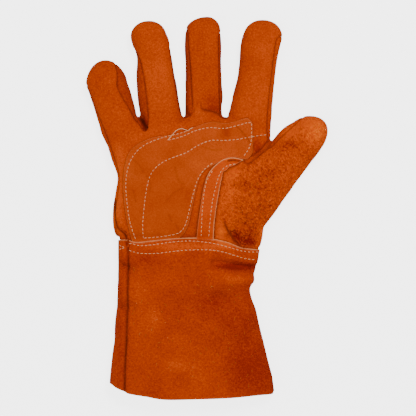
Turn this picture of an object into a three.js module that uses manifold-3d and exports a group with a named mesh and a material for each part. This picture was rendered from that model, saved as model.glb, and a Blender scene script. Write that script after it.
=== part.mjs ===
import * as THREE from "three";
import { mergeVertices } from "three/addons/utils/BufferGeometryUtils.js";
import Module from "manifold-3d";

// Right-hand gauntlet glove of split leather, lying on its back with the palm up.
// Millimetres. X runs to the thumb side, Y to the fingertips, Z up. While it is built,
// X = 0 is the middle of the palm and Y = 0 the wrist, where the cuff laps over the hand.

// Leather and clearances
const wall = 1.6;
const patchThickness = 1.4;
const strapThickness = 2.0;
const clearance = 0.35;

// Hand
const palmLength = 119;
const palmWidth = 140;
const palmHeight = 28;
const crotchRounding = 7.5;
const neckDepth = 14;
const neckStep = 4;

// Cuff
const cuffLength = 138.5;
const hemWidth = 151.2;
const wristHeight = 25;
const hemHeight = 31;

// Fingers and thumb
const fingerHeight = 22;
const littleLength = 62;
const littleWidth = 37;
const ringLength = 91;
const ringWidth = 33;
const middleLength = 91.5;
const middleWidth = 32;
const indexLength = 94;
const indexWidth = 34.7;
const thumbLength = 121.5;
const thumbWidth = 42;
const thumbHeight = 33;

// Seams
const seamHeight = 9;
const fourchetteFoot = 5;
const handSeamInset = 2.2;

// Section shapes: 2 is an ellipse, more is squarer
const bodyRoundness = 2.7;
const fingerRoundness = 2.3;
const tipRoundness = 2.1;
const waistShare = 0.42;
const undersideShare = 0.62;

// Facets
const bodySides = 22;
const fingerSides = 14;
const sidesLessInside = 4;
const capSteps = 3;

// Where the thumb side of the hand meets the lap, a share of the half hem
const thumbSideLap = 0.52;

const PALM = palmWidth / 2;
const HEM = hemWidth / 2;

// Tables: along is a share of the tube's length, left and right of its half width,
// top of its height. Seams are how far the front's seam lies inside that edge.
const handTable = {
  columns: ["along", "left", "right", "top"],
  rows: [
    [-0.12, 0.95, 0.88, 0.86],
    [0.0, 0.96, 0.9, 0.88],
    [0.085, 0.992, 0.927, 0.91],
    [0.16, 1.025, 0.946, 0.94],
    [0.3, 1.025, 0.979, 0.98],
    [0.44, 0.986, 1.0, 1.0],
    [0.546, 0.973, 1.01, 1.0],
    [0.67, 1.044, 1.025, 0.98],
    [0.76, 1.09, 1.03, 0.94],
    [0.854, 1.142, 1.03, 0.89],
    [0.94, 1.19, 1.035, 0.83],
    [1.0, 1.2, 1.03, 0.79],
  ],
};

const cuffTable = {
  columns: ["along", "left", "right", "rise"],
  rows: [
    [-0.1, 0.888, 0.858, 0.0],
    [0.02, 0.888, 0.828, 0.0],
    [0.18, 0.888, 0.767, -0.15],
    [0.258, 0.888, 0.712, 0.15],
    [0.337, 0.9, 0.726, 0.1],
    [0.416, 0.912, 0.779, 0.0],
    [0.62, 0.938, 0.876, 0.3],
    [0.852, 0.985, 0.973, 0.75],
    [1.0, 1.003, 1.021, 1.0],
  ],
};

const fingerColumns = ["along", "left", "right", "top", "lift", "seamLeft", "seamRight"];
const littleTable = {
  columns: fingerColumns,
  rows: [
    [-0.4, 0.7, 0.8, 0.7, 0.15, 0.1, 0.0],
    [-0.08, 0.98, 1.0, 0.95, 0.0, 0.1, 0.0],
    [0.07, 0.99, 1.02, 1.0, 0.0, 0.08, 0.12],
    [0.2, 1.0, 1.0, 1.0, 0.0, 0.07, 0.3],
    [0.4, 1.06, 0.94, 0.95, 0.03, 0.06, 0.5],
    [0.6, 1.12, 0.86, 0.93, 0.1, 0.06, 0.48],
    [0.72, 1.13, 0.82, 0.9, 0.16, 0.05, 0.26],
    [1.0, 0.5, 0.4, 0.8, 0.26, -0.3, -0.3],
  ],
};
const ringTable = {
  columns: fingerColumns,
  rows: [
    [-0.25, 0.9, 0.95, 0.7, 0.15, 0.4, 0.1],
    [0.0, 1.14, 1.18, 0.97, 0.0, 0.48, 0.1],
    [0.15, 1.17, 1.12, 1.02, 0.0, 0.5, 0.1],
    [0.3, 1.15, 1.1, 0.98, 0.0, 0.5, 0.12],
    [0.47, 1.1, 1.02, 0.95, 0.03, 0.42, 0.12],
    [0.65, 0.95, 0.98, 0.93, 0.1, 0.18, 0.12],
    [0.78, 1.08, 0.94, 0.92, 0.17, 0.14, 0.1],
    [0.87, 1.11, 0.78, 0.9, 0.22, 0.1, 0.0],
    [1.0, 0.8, 0.5, 0.8, 0.28, -0.3, -0.3],
  ],
};
const middleTable = {
  columns: fingerColumns,
  rows: [
    [-0.25, 0.9, 0.95, 0.7, 0.15, 0.4, 0.12],
    [0.0, 1.08, 1.04, 0.97, 0.0, 0.42, 0.12],
    [0.1, 1.09, 1.02, 1.02, 0.0, 0.44, 0.12],
    [0.2, 1.08, 1.1, 1.0, 0.0, 0.38, 0.13],
    [0.47, 1.06, 0.98, 0.97, 0.03, 0.26, 0.12],
    [0.72, 1.12, 0.97, 0.94, 0.14, 0.18, 0.12],
    [0.87, 1.02, 0.93, 0.9, 0.22, 0.12, 0.05],
    [1.0, 0.6, 0.85, 0.8, 0.28, -0.3, -0.3],
  ],
};
const indexTable = {
  columns: fingerColumns,
  rows: [
    [-0.25, 0.95, 0.95, 0.7, 0.15, 0.12, 0.1],
    [-0.05, 1.15, 1.12, 0.95, 0.0, 0.12, 0.1],
    [0.05, 1.18, 1.1, 1.0, 0.0, 0.12, 0.12],
    [0.25, 1.08, 1.03, 0.99, 0.0, 0.12, 0.2],
    [0.43, 0.96, 0.99, 0.95, 0.02, 0.12, 0.22],
    [0.62, 0.99, 0.99, 0.95, 0.09, 0.12, 0.22],
    [0.77, 1.0, 1.03, 0.94, 0.16, 0.12, 0.22],
    [0.87, 0.9, 1.03, 0.9, 0.22, 0.05, 0.15],
    [1.0, 0.5, 0.8, 0.8, 0.28, -0.3, -0.3],
  ],
};
const thumbTable = {
  columns: fingerColumns,
  rows: [
    [-0.06, 0.45, 0.45, 0.5, 0.1, 0.2, 0.0],
    [0.05, 1.1, 0.93, 0.78, 0.0, 0.2, 0.0],
    [0.17, 1.58, 1.0, 0.92, 0.0, 0.2, 0.0],
    [0.3, 1.61, 0.95, 1.0, 0.0, 0.2, 0.0],
    [0.4, 1.5, 0.9, 1.0, 0.01, 0.22, 0.0],
    [0.52, 1.24, 0.86, 0.96, 0.04, 0.16, 0.0],
    [0.62, 1.09, 0.835, 0.9, 0.08, 0.16, 0.0],
    [0.7, 1.08, 0.82, 0.85, 0.12, 0.15, 0.0],
    [0.78, 1.0, 0.8, 0.79, 0.16, 0.1, 0.0],
    [0.85, 0.84, 0.76, 0.72, 0.2, 0.0, 0.0],
    [1.0, 0.3, 0.72, 0.62, 0.24, -0.3, -0.3],
  ],
};

// Roots: across is a share of the half palm, along of the palm's length from the wrist
const fingers = {
  little: {
    table: littleTable, length: littleLength, width: littleWidth, height: fingerHeight,
    across: -0.933, along: 0.931, turn: 13.6, cap: 0.3, start: -0.4,
  },
  ring: {
    table: ringTable, length: ringLength, width: ringWidth, height: fingerHeight,
    across: -0.398, along: 0.977, turn: 6.6, cap: 0.14, start: -0.25,
  },
  middle: {
    table: middleTable, length: middleLength, width: middleWidth, height: fingerHeight,
    across: 0.163, along: 1.0, turn: 0, cap: 0.13, start: -0.25,
  },
  index: {
    table: indexTable, length: indexLength, width: indexWidth, height: fingerHeight,
    across: 0.764, along: 0.962, turn: -7.8, cap: 0.14, start: -0.25,
  },
  thumb: {
    table: thumbTable, length: thumbLength, width: thumbWidth, height: thumbHeight,
    across: 0.607, along: 0.192, turn: -39.2, cap: 0.16, start: -0.06,
  },
};

// Cuff edges: across is a share of the half hem, off of the cuff's length past the wrist
// (lap) and short of the full length (hem). The side seam runs down the cuff's left part.
const lapTable = {
  columns: ["across", "off"],
  rows: [
    [-1.2, 0.05], [-0.77, 0.05], [-0.66, 0.034], [-0.45, 0.045], [-0.2, 0.058],
    [0.05, 0.063], [0.28, 0.053], [0.45, 0.03], [0.6, -0.002], [0.72, -0.011],
    [0.82, -0.016], [1.2, -0.02],
  ],
};
const hemTable = {
  columns: ["across", "off"],
  rows: [
    [-1.2, 0.13], [-0.99, 0.1], [-0.91, 0.073], [-0.8, 0.05], [-0.54, 0.018],
    [-0.32, 0.0], [0.05, 0.003], [0.4, 0.014], [0.79, 0.026], [0.97, 0.032],
    [1.02, 0.06], [1.2, 0.1],
  ],
};
const cuffSeamTable = {
  columns: ["along", "across"],
  rows: [
    [-0.2, -0.773], [0.07, -0.77], [0.26, -0.773], [0.44, -0.782], [0.63, -0.792],
    [0.81, -0.807], [1.1, -0.807],
  ],
};

// Edge of the palm leather across the foot of the middle finger, and the strap's middle
// line and half width, in shares of the half palm and of the palm's length
const middleFoot = {
  columns: ["across", "along"],
  rows: [[-0.03, 0.94], [0.007, 1.015], [0.09, 1.096], [0.15, 1.046], [0.24, 1.038], [0.39, 1.004]],
};
const strapTable = {
  columns: ["across", "along", "half"],
  rows: [
    [0.172, -0.02, 0.11], [0.176, 0.1, 0.111], [0.193, 0.246, 0.112], [0.245, 0.423, 0.113],
    [0.3, 0.527, 0.104], [0.352, 0.585, 0.094], [0.437, 0.623, 0.086], [0.529, 0.644, 0.06],
    [0.625, 0.655, 0.028],
  ],
};
const patchTable = {
  columns: ["across", "along"],
  rows: [
    [-0.757, -0.02], [-0.777, 0.077], [-0.836, 0.192], [-0.877, 0.362], [-0.885, 0.531],
    [-0.855, 0.654], [-0.79, 0.738], [-0.672, 0.796], [-0.503, 0.838], [-0.333, 0.854],
    [-0.15, 0.873], [0.111, 0.935], [0.268, 0.958], [0.437, 0.946], [0.581, 0.965],
    [0.722, 0.991], [0.8, 0.946], [0.809, 0.823], [0.807, 0.723], [0.725, 0.677],
    [0.55, 0.66], [0.4, 0.63], [0.268, 0.635], [0.176, 0.592], [0.098, 0.523],
    [0.052, 0.423], [0.0, 0.269], [-0.052, 0.162], [-0.137, 0.06], [-0.202, -0.02],
  ],
};

// Dents and folds of the upper side: from and to in shares of the half palm and the
// palm's length, reach in shares of the half palm, rise in shares of the palm's height
const foldColumns = ["fromX", "fromY", "toX", "toY", "reach", "rise"];
const folds = {
  columns: foldColumns,
  rows: [
    [-0.45, 0.3, 0.1, 0.6, 0.45, -0.1],
    [-0.6, 0.68, 0.55, 0.84, 0.16, 0.05],
    [0.38, -0.11, 0.84, -0.19, 0.09, -0.16],
    [0.42, -0.25, 0.78, -0.22, 0.12, 0.1],
    [0.2, -0.38, 0.5, -0.42, 0.12, -0.1],
    [-1.0, -0.13, -0.8, -0.18, 0.07, -0.12],
    [-1.0, -0.45, -0.8, -0.47, 0.08, -0.12],
    [-0.5, -0.6, 0.1, -0.8, 0.3, 0.06],
    [0.25, -0.85, 0.85, -0.7, 0.2, -0.08],
    [0.5, 0.05, 0.62, 0.16, 0.07, -0.14],
  ],
};

const wasm = await Module();
wasm.setup();

function smoothstep(value) {
  const share = Math.min(1, Math.max(0, value));
  return share * share * (3 - 2 * share);
}

function mix(from, to, share) {
  return from + (to - from) * share;
}

// A table's row as an object with named columns
function named(table, row) {
  return Object.fromEntries(table.columns.map((name, place) => [name, row[place]]));
}

// A column at a place of the first column, on a smooth curve through the rows
function read(table, column, at) {
  const rows = table.rows;
  const place = table.columns.indexOf(column);
  const last = rows.length - 1;
  if (at <= rows[0][0]) {
    return rows[0][place];
  }
  if (at >= rows[last][0]) {
    return rows[last][place];
  }
  const next = rows.findIndex((row) => row[0] > at);
  const low = rows[next - 1];
  const high = rows[next];
  const before = rows[Math.max(next - 2, 0)];
  const after = rows[Math.min(next + 1, last)];
  const span = high[0] - low[0];
  const share = (at - low[0]) / span;
  const slopeLow = ((high[place] - before[place]) / (high[0] - before[0])) * span;
  const slopeHigh = ((after[place] - low[place]) / (after[0] - low[0])) * span;
  const square = share * share;
  const cube = square * share;
  return (2 * cube - 3 * square + 1) * low[place] + (cube - 2 * square + share) * slopeLow
    + (3 * square - 2 * cube) * high[place] + (cube - square) * slopeHigh;
}

// Height that the folds add to the upper side over a point of the plan
function relief(x, y) {
  let rise = 0;
  for (const row of folds.rows) {
    const fold = named(folds, row);
    const start = new THREE.Vector2(fold.fromX * PALM, fold.fromY * palmLength);
    const end = new THREE.Vector2(fold.toX * PALM, fold.toY * palmLength);
    const run = end.clone().sub(start);
    const point = new THREE.Vector2(x, y);
    const share = Math.min(1, Math.max(0, point.clone().sub(start).dot(run) / run.lengthSq()));
    const away = point.distanceTo(start.addScaledVector(run, share)) / (fold.reach * PALM);
    rise += fold.rise * palmHeight * Math.exp(-away * away);
  }
  return rise;
}

// A tube's section: left and right edges, height of the widest place, rise above it,
// drop below it and the level on which its underside is flattened
function section(left, right, height, floor, round) {
  return {
    left, right, waist: waistShare * height, up: (1 - waistShare) * height,
    down: undersideShare * height, floor, round,
  };
}

function grown(from, by) {
  return {
    ...from, left: from.left + by, right: from.right + by,
    up: from.up + by, down: from.down + by, floor: from.floor - by,
  };
}

function mixed(from, to, shares) {
  return {
    left: mix(from.left, to.left, shares.left), right: mix(from.right, to.right, shares.right),
    waist: mix(from.waist, to.waist, shares.top), up: mix(from.up, to.up, shares.top),
    down: mix(from.down, to.down, shares.top), floor: mix(from.floor, to.floor, shares.top),
    round: to.round,
  };
}

// One ring of points round a section, with the folds pressed into its upper part
function ringPoints(shape, sides, place) {
  const points = [];
  const middle = (shape.right - shape.left) / 2;
  const half = (shape.right + shape.left) / 2;
  for (let side = 0; side < sides; side += 1) {
    const angle = (2 * Math.PI * side) / sides;
    const cosine = Math.cos(angle);
    const sine = Math.sin(angle);
    const across = middle + half * Math.sign(cosine) * Math.abs(cosine) ** (2 / shape.round);
    const swell = Math.abs(sine) ** (2 / shape.round);
    const level = sine > 0 ? shape.waist + shape.up * swell : shape.waist - shape.down * swell;
    const point = place(across, Math.max(level, shape.floor));
    if (sine > 0) {
      point.z += relief(point.x, point.y) * smoothstep(sine * 1.4);
    }
    points.push(point);
  }
  return points;
}

// A closed body through rings with the same number of points
function loft(rings) {
  const sides = rings[0].length;
  const points = rings.flat();
  const index = [];
  for (let ring = 0; ring + 1 < rings.length; ring += 1) {
    for (let side = 0; side < sides; side += 1) {
      const next = (side + 1) % sides;
      const here = ring * sides;
      const there = here + sides;
      index.push(here + side, there + side, there + next, here + side, there + next, here + next);
    }
  }
  for (const ring of [0, rings.length - 1]) {
    const centre = new THREE.Vector3();
    rings[ring].forEach((point) => centre.addScaledVector(point, 1 / sides));
    points.push(centre);
    for (let side = 0; side < sides; side += 1) {
      const near = ring * sides + side;
      const far = ring * sides + ((side + 1) % sides);
      index.push(...(ring === 0 ? [points.length - 1, near, far] : [points.length - 1, far, near]));
    }
  }
  const geometry = new THREE.BufferGeometry().setFromPoints(points);
  geometry.setIndex(index);
  return solid(geometry);
}

function solid(geometry) {
  const bare = geometry.clone();
  bare.deleteAttribute("normal");
  bare.deleteAttribute("uv");
  const merged = mergeVertices(bare, 1e-4);
  const mesh = new wasm.Mesh({
    numProp: 3,
    vertProperties: new Float32Array(merged.attributes.position.array),
    triVerts: new Uint32Array(merged.index.array),
  });
  return new wasm.Manifold(mesh);
}

function united(bodies) {
  return bodies.reduce((whole, body) => whole.add(body));
}

// Shares of a rounded end: how far along it and how wide, square to round
function capPlace(step) {
  const angle = (Math.PI / 2) * (step / (capSteps + 0.35));
  return {
    along: Math.sin(angle) ** (2 / tipRoundness),
    width: Math.cos(angle) ** (2 / tipRoundness),
  };
}

// Finger or thumb tube, grown by a distance
function fingerFrame(finger) {
  const turn = THREE.MathUtils.degToRad(finger.turn);
  const root = new THREE.Vector2(finger.across * PALM, finger.along * palmLength);
  const ahead = new THREE.Vector2(-Math.sin(turn), Math.cos(turn));
  const aside = new THREE.Vector2(Math.cos(turn), Math.sin(turn));
  return (along, across, level) => {
    const point = root.clone().addScaledVector(ahead, along).addScaledVector(aside, across);
    return new THREE.Vector3(point.x, point.y, level);
  };
}

function fingerSection(finger, share, by) {
  const column = (name) => read(finger.table, name, share);
  const half = finger.width / 2;
  const flat = section(
    column("left") * half, column("right") * half, column("top") * finger.height, 0,
    fingerRoundness,
  );
  return { shape: grown(flat, by), lift: column("lift") * finger.height };
}

function shrunk(shape, width) {
  const middle = (shape.right - shape.left) / 2;
  const half = ((shape.right + shape.left) / 2) * width;
  return {
    ...shape, left: half - middle, right: half + middle, up: shape.up * width,
    down: shape.down * width, floor: mix(shape.waist, shape.floor, Math.min(1, width * 1.3)),
  };
}

function fingerTube(finger, by) {
  const sides = fingerSides - (by < 0 ? sidesLessInside : 0);
  const frame = fingerFrame(finger);
  const rings = [];
  const capStart = 1 - finger.cap;
  const shares = finger.table.rows.map((row) => row[0]).filter((share) => share < capStart - 0.03);
  for (const share of [...shares, capStart]) {
    const { shape, lift } = fingerSection(finger, share, by);
    rings.push(ringPoints(shape, sides, (across, level) => (
      frame(share * finger.length, across, level + lift)
    )));
  }
  for (let step = 1; step <= capSteps; step += 1) {
    const cap = capPlace(step);
    const share = capStart + finger.cap * cap.along * 0.4;
    const { shape, lift } = fingerSection(finger, share, by);
    const along = capStart * finger.length + (finger.cap * finger.length + by) * cap.along;
    rings.push(ringPoints(shrunk(shape, cap.width), sides, (across, level) => (
      frame(along, across, level + lift)
    )));
  }
  return loft(rings);
}

// Cuff section at a place below the wrist
function cuffSection(y, by) {
  const share = -y / cuffLength;
  const column = (name) => read(cuffTable, name, share);
  const height = mix(wristHeight, hemHeight, column("rise"));
  return grown(section(column("left") * HEM, column("right") * HEM, height, 0, bodyRoundness), by);
}

// Level of the lap edge over a place across the cuff
function lapLevel(x) {
  return read(lapTable, "off", x / HEM) * cuffLength;
}

// Hand section: above the lap its own form, below it a neck that fits inside the cuff
function handSection(y, by) {
  const column = (name) => read(handTable, name, y / palmLength);
  const free = section(
    column("left") * PALM, column("right") * PALM, column("top") * palmHeight, 0, bodyRoundness,
  );
  const neck = cuffSection(y, -wall - clearance);
  const over = (edge) => smoothstep((y - edge - clearance) / neckStep);
  const shares = {
    left: over(lapLevel(-HEM)), right: over(lapLevel(HEM * thumbSideLap)), top: over(lapLevel(0)),
  };
  return grown(mixed(neck, free, shares), by);
}

function plan(across, y) {
  return (level) => new THREE.Vector3(across, y, level);
}

function handTube(by) {
  const sides = bodySides - (by < 0 ? sidesLessInside : 0);
  const lowest = -neckDepth - (by < 0 ? wall * 2 : 0);
  const left = lapLevel(-HEM);
  const middle = lapLevel(0);
  const right = lapLevel(HEM * thumbSideLap);
  const body = palmLength - crotchRounding;
  const levels = [
    lowest, right + clearance, left + clearance, middle + clearance, left + neckStep,
    middle + neckStep,
    ...handTable.rows.map((row) => row[0] * palmLength).filter((y) => (
      y > middle + neckStep * 1.5 && y < body - 1
    )),
    body,
  ].sort((low, high) => low - high);
  const rings = levels.map((y) => ringPoints(handSection(y, by), sides, (across, level) => (
    plan(across, y)(level)
  )));
  for (let step = 1; step <= capSteps; step += 1) {
    const cap = capPlace(step);
    const y = body + (crotchRounding + by) * cap.along;
    const shape = handSection(y, by);
    const end = { ...shrunk(shape, cap.width), left: shape.left - crotchRounding * cap.along };
    end.right = shape.right - crotchRounding * cap.along;
    rings.push(ringPoints(end, sides, (across, level) => plan(across, y)(level)));
  }
  return loft(rings);
}

function cuffTube(by) {
  const reach = by < 0 ? wall * 2 : 0;
  const top = cuffLength * 0.09 + reach;
  const levels = cuffTable.rows.map((row) => -row[0] * cuffLength).filter((y) => y < top);
  levels[levels.length - 1] = -cuffLength - reach - 1;
  const rings = [top, ...levels].sort((low, high) => low - high).map((y) => (
    ringPoints(cuffSection(y, by), bodySides, (across, level) => plan(across, y)(level))
  ));
  return loft(rings);
}

// A plan outline standing up as a cutter between two levels
function cutter(points, low, high) {
  const outline = new THREE.Shape(points);
  const geometry = new THREE.ExtrudeGeometry(outline, { depth: high - low, bevelEnabled: false });
  geometry.translate(0, 0, low);
  return solid(geometry);
}

// An outline moved outwards by a distance
function spread(points, by) {
  const turnedLeft = THREE.ShapeUtils.isClockWise(points) ? -1 : 1;
  return points.map((point, place) => {
    const before = points[(place + points.length - 1) % points.length];
    const after = points[(place + 1) % points.length];
    const first = point.clone().sub(before).normalize();
    const second = after.clone().sub(point).normalize();
    const normal = new THREE.Vector2(first.y + second.y, -first.x - second.x).normalize();
    const miter = Math.max(0.5, normal.dot(new THREE.Vector2(first.y, -first.x)));
    return point.clone().addScaledVector(normal, (turnedLeft * by) / miter);
  });
}

const sky = palmHeight + thumbHeight + hemHeight;
const outside = palmWidth;

function shares(from, to, steps) {
  return Array.from({ length: steps + 1 }, (_, step) => mix(from, to, step / steps));
}

// A point on a finger's edge in plan, inside it by a distance
function edgePoint(finger, side, share, inset) {
  const half = finger.width / 2;
  const reach = read(finger.table, side, share) * half - inset;
  const point = fingerFrame(finger)(share * finger.length, side === "left" ? -reach : reach, 0);
  return new THREE.Vector2(point.x, point.y);
}

function seamInset(finger, side, share) {
  const column = side === "left" ? "seamLeft" : "seamRight";
  return (read(finger.table, column, share) * finger.width) / 2;
}

// The plan of a finger's front: its two seams, and past the tip outside the leather
function fingerFront(finger, from) {
  const seamEnd = 1 - finger.cap;
  const steps = shares(from, seamEnd, 6);
  const left = steps.map((share) => edgePoint(finger, "left", share, seamInset(finger, "left", share)));
  const right = steps.map((share) => (
    edgePoint(finger, "right", share, seamInset(finger, "right", share))
  ));
  const past = [1 - finger.cap * 0.8, 1.1].flatMap((share) => (
    [["left", share], ["right", share]]
  ));
  const [leftLow, rightLow, leftHigh, rightHigh] = past.map(([side, share]) => (
    edgePoint(finger, side, share, -finger.width * 0.12)
  ));
  return [...left, leftLow, leftHigh, rightHigh, rightLow, ...right.reverse()];
}

function palmPoint(across, along) {
  return new THREE.Vector2(across * PALM, along * palmLength);
}

const { little, ring, middle, index, thumb } = fingers;
const crotchBase = 0.94;
const stripFoot = 0.37;
const stripEnd = 0.63;
const strapLine = strapTable.rows.map((row) => palmPoint(row[0], row[1]));
const handBottom = -neckDepth * 1.5;
const strapFoot = new THREE.Vector2(strapLine[0].x, handBottom);

// Plans of the pieces, each a list of outlines
function palmPlan() {
  const leftSeam = shares(0, crotchBase, 8).map((along) => {
    const y = along * palmLength;
    return new THREE.Vector2(-handSection(y, 0).left + handSeamInset, y);
  });
  const strip = shares(stripEnd, stripFoot, 4).map((share) => edgePoint(thumb, "left", share, 0));
  const foot = middleFoot.rows.map((row) => palmPoint(row[0], row[1]));
  const indexFoot = edgePoint(index, "right", -0.05, seamInset(index, "right", -0.05));
  const neckLeft = new THREE.Vector2(-cuffSection(handBottom, 0).left + wall * 3, handBottom);
  const hand = [neckLeft, ...leftSeam, ...foot, palmPoint(foot.at(-1).x / PALM, crotchBase),
    indexFoot, ...strip, ...strapLine.slice(0, -1).reverse(), strapFoot];
  return [hand, fingerFront(little, -0.2), fingerFront(ring, -0.12), fingerFront(index, -0.12)];
}

function thumbPlan() {
  const seam = shares(stripFoot, 1 - thumb.cap, 6).map((share) => (
    edgePoint(thumb, "left", share, seamInset(thumb, "left", share))
  ));
  const beyond = [[1.0, "left"], [1.1, "left"], [1.1, "right"], [0.8, "right"], [0.1, "right"]]
    .map(([share, side]) => edgePoint(thumb, side, share, -thumb.width * 0.2));
  const outer = new THREE.Vector2(palmWidth * 0.62, handBottom);
  return [[strapFoot, ...strapLine.slice(0, -1), ...seam, ...beyond, outer]];
}

function middlePlan() {
  return [fingerFront(middle, 0.0)];
}

function crotchPlan(first, second, top) {
  const step = shares(-0.12, top, 5);
  const centre = (finger, share, side) => edgePoint(finger, side, share, finger.width * 0.42);
  const up = step.map((share) => centre(first, share * (second.length / first.length), "right"));
  const down = step.map((share) => centre(second, share, "left")).reverse();
  return [[...up, ...down]];
}

// The back of the thumb: all of it outside the hand's edge, and the strip up its flank
function thumbBackPlan() {
  const handEdge = shares(0.8, 0.08, 5).map((along) => (
    new THREE.Vector2(handSection(along * palmLength, 0).right - handSeamInset, along * palmLength)
  ));
  const reach = palmWidth * 1.1;
  return [[...handEdge, palmPoint(1.0, 0.04), new THREE.Vector2(reach, 0),
    new THREE.Vector2(reach, palmLength * 1.2), palmPoint(1.04, 1.2), palmPoint(1.04, 0.85)]];
}

function thumbStripPlan() {
  const along = shares(stripFoot - 0.03, stripEnd + 0.12, 5);
  const inner = along.map((share) => edgePoint(thumb, "left", share, -thumb.width * 0.06));
  const outer = along.map((share) => edgePoint(thumb, "left", share, thumb.width * 0.3)).reverse();
  return [[...inner, ...outer]];
}

function cuffPlan() {
  const edge = (table, level) => table.rows.map((row) => (
    new THREE.Vector2(row[0] * HEM, level(row[1]))
  ));
  const lap = edge(lapTable, (off) => off * cuffLength);
  const hem = edge(hemTable, (off) => (off - 1) * cuffLength).reverse();
  return [[...lap, ...hem]];
}

function cuffFrontPlan() {
  const seam = cuffSeamTable.rows.map((row) => (
    new THREE.Vector2(row[1] * HEM, -row[0] * cuffLength)
  ));
  return [[...seam, new THREE.Vector2(HEM * 1.4, seam.at(-1).y), new THREE.Vector2(HEM * 1.4, seam[0].y)]];
}

function strapPlan() {
  const rows = strapTable.rows.map((row) => named(strapTable, row));
  const sides = [-1, 1].map((side) => rows.map((row, place) => {
    const here = palmPoint(row.across, row.along);
    const before = rows[Math.max(place - 1, 0)];
    const after = rows[Math.min(place + 1, rows.length - 1)];
    const run = palmPoint(after.across, after.along).sub(palmPoint(before.across, before.along));
    run.normalize();
    const reach = side * row.half * PALM;
    return here.add(new THREE.Vector2(run.y * reach, -run.x * reach));
  }));
  return [[...sides[0], ...sides[1].reverse()]];
}

function patchPlan() {
  return [patchTable.rows.map((row) => palmPoint(row[0], row[1]))];
}

function raise(outlines, by, low, high = sky) {
  return united(outlines.map((points) => cutter(spread(points, by), low, high)));
}

// The hand's whole form, and the leather of the hand and of the cuff
function handForm(by) {
  return united([handTube(by), ...Object.values(fingers).map((finger) => fingerTube(finger, by))]);
}

const form = handForm(0);
const handShell = form.subtract(handForm(-wall));
const cuffShell = cuffTube(0).subtract(cuffTube(-wall)).intersect(raise(cuffPlan(), 0, -wall));

const palmCut = (by) => raise(palmPlan(), by, seamHeight - by);
const middleCut = (by) => raise(middlePlan(), by, seamHeight - by);
const thumbCut = (by) => raise(thumbPlan(), by, seamHeight - by);
const crotchCuts = [[little, ring, 0.6], [ring, middle, 0.8], [middle, index, 0.8]];
const crotchCut = ([first, second, top], by) => (
  raise(crotchPlan(first, second, top), by, fourchetteFoot - by)
);
const thumbBackCut = (by) => united([
  raise(thumbBackPlan(), by, -wall), raise(thumbStripPlan(), by, seamHeight - by),
]);

const rest = handShell.subtract(palmCut(clearance)).subtract(middleCut(clearance))
  .subtract(thumbCut(clearance));
const back = crotchCuts.reduce((body, place) => body.subtract(crotchCut(place, clearance)), rest)
  .subtract(thumbBackCut(clearance));
const laidOn = (thickness) => handForm(clearance + thickness).subtract(handForm(clearance));
const strapCut = (by) => raise(strapPlan(), by, seamHeight);
const lapCut = raise(cuffPlan(), clearance, -wall);
const cuffFrontCut = (by) => raise(cuffFrontPlan(), by, seamHeight - by);

const colours = { suede: "#b84a12", napped: "#a94210", smooth: "#b04c18", shaded: "#983c0e" };
const pieces = {
  palm_leather: [handShell.intersect(palmCut(0)), colours.suede],
  middle_finger_front: [
    handShell.intersect(middleCut(0)).subtract(palmCut(clearance)), colours.suede,
  ],
  back_leather: [back, colours.suede],
  fourchette_little_ring: [rest.intersect(crotchCut(crotchCuts[0], 0)), colours.shaded],
  fourchette_ring_middle: [rest.intersect(crotchCut(crotchCuts[1], 0)), colours.shaded],
  fourchette_middle_index: [rest.intersect(crotchCut(crotchCuts[2], 0)), colours.shaded],
  thumb_front: [
    handShell.intersect(thumbCut(0)).subtract(palmCut(clearance)), colours.napped,
  ],
  thumb_back: [rest.intersect(thumbBackCut(0)), colours.suede],
  palm_patch: [
    laidOn(patchThickness).intersect(raise(patchPlan(), 0, seamHeight))
      .subtract(strapCut(clearance)).subtract(lapCut),
    colours.smooth,
  ],
  thumb_strap: [laidOn(strapThickness).intersect(strapCut(0)).subtract(lapCut), colours.smooth],
  cuff_front: [cuffShell.intersect(cuffFrontCut(0)), colours.suede],
  cuff_back: [cuffShell.subtract(cuffFrontCut(clearance)), colours.suede],
};

// The largest closed body of a cut piece: offcuts at its corners are left out
function largest(body) {
  const mesh = body.getMesh();
  const owner = Array.from({ length: mesh.vertProperties.length / 3 }, (_, place) => place);
  const find = (place) => {
    let root = place;
    while (owner[root] !== root) {
      owner[root] = owner[owner[root]];
      root = owner[root];
    }
    return root;
  };
  const triangles = mesh.triVerts;
  for (let corner = 0; corner < triangles.length; corner += 3) {
    owner[find(triangles[corner])] = find(triangles[corner + 1]);
    owner[find(triangles[corner + 1])] = find(triangles[corner + 2]);
  }
  const groups = new Map();
  for (let corner = 0; corner < triangles.length; corner += 3) {
    const root = find(triangles[corner]);
    groups.set(root, [...(groups.get(root) ?? []), ...triangles.slice(corner, corner + 3)]);
  }
  const kept = [...groups.values()].sort((one, other) => other.length - one.length)[0];
  const geometry = new THREE.BufferGeometry();
  geometry.setAttribute("position", new THREE.BufferAttribute(mesh.vertProperties, 3));
  geometry.setIndex(kept);
  const plain = geometry.toNonIndexed();
  return mergeVertices(plain, 1e-5);
}

const glove = new THREE.Group();
for (const [name, [body, colour]] of Object.entries(pieces)) {
  const material = new THREE.MeshStandardMaterial({ color: colour, roughness: 0.95, metalness: 0 });
  const mesh = new THREE.Mesh(largest(body), material);
  mesh.name = name;
  glove.add(mesh);
}

// Origin at the middle of the underside
const box = new THREE.Box3().setFromObject(glove);
const centre = box.getCenter(new THREE.Vector3());
glove.position.set(-centre.x, -centre.y, -box.min.z);
glove.updateMatrixWorld(true);

export default glove;
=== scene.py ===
"""Split leather gauntlet glove, lying on its back with the palm up.

The glove is built from nearly the same sizes as its solid model. Tubes for the hand,
the fingers and the thumb are melted into one form, folded, given a wall and cut into the
hides that the real glove is sewn from. Patch, strap, stitches and thread lie on it.
Lengths are millimetres up to finish_piece, which puts each piece into the frame in metres.
"""

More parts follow.
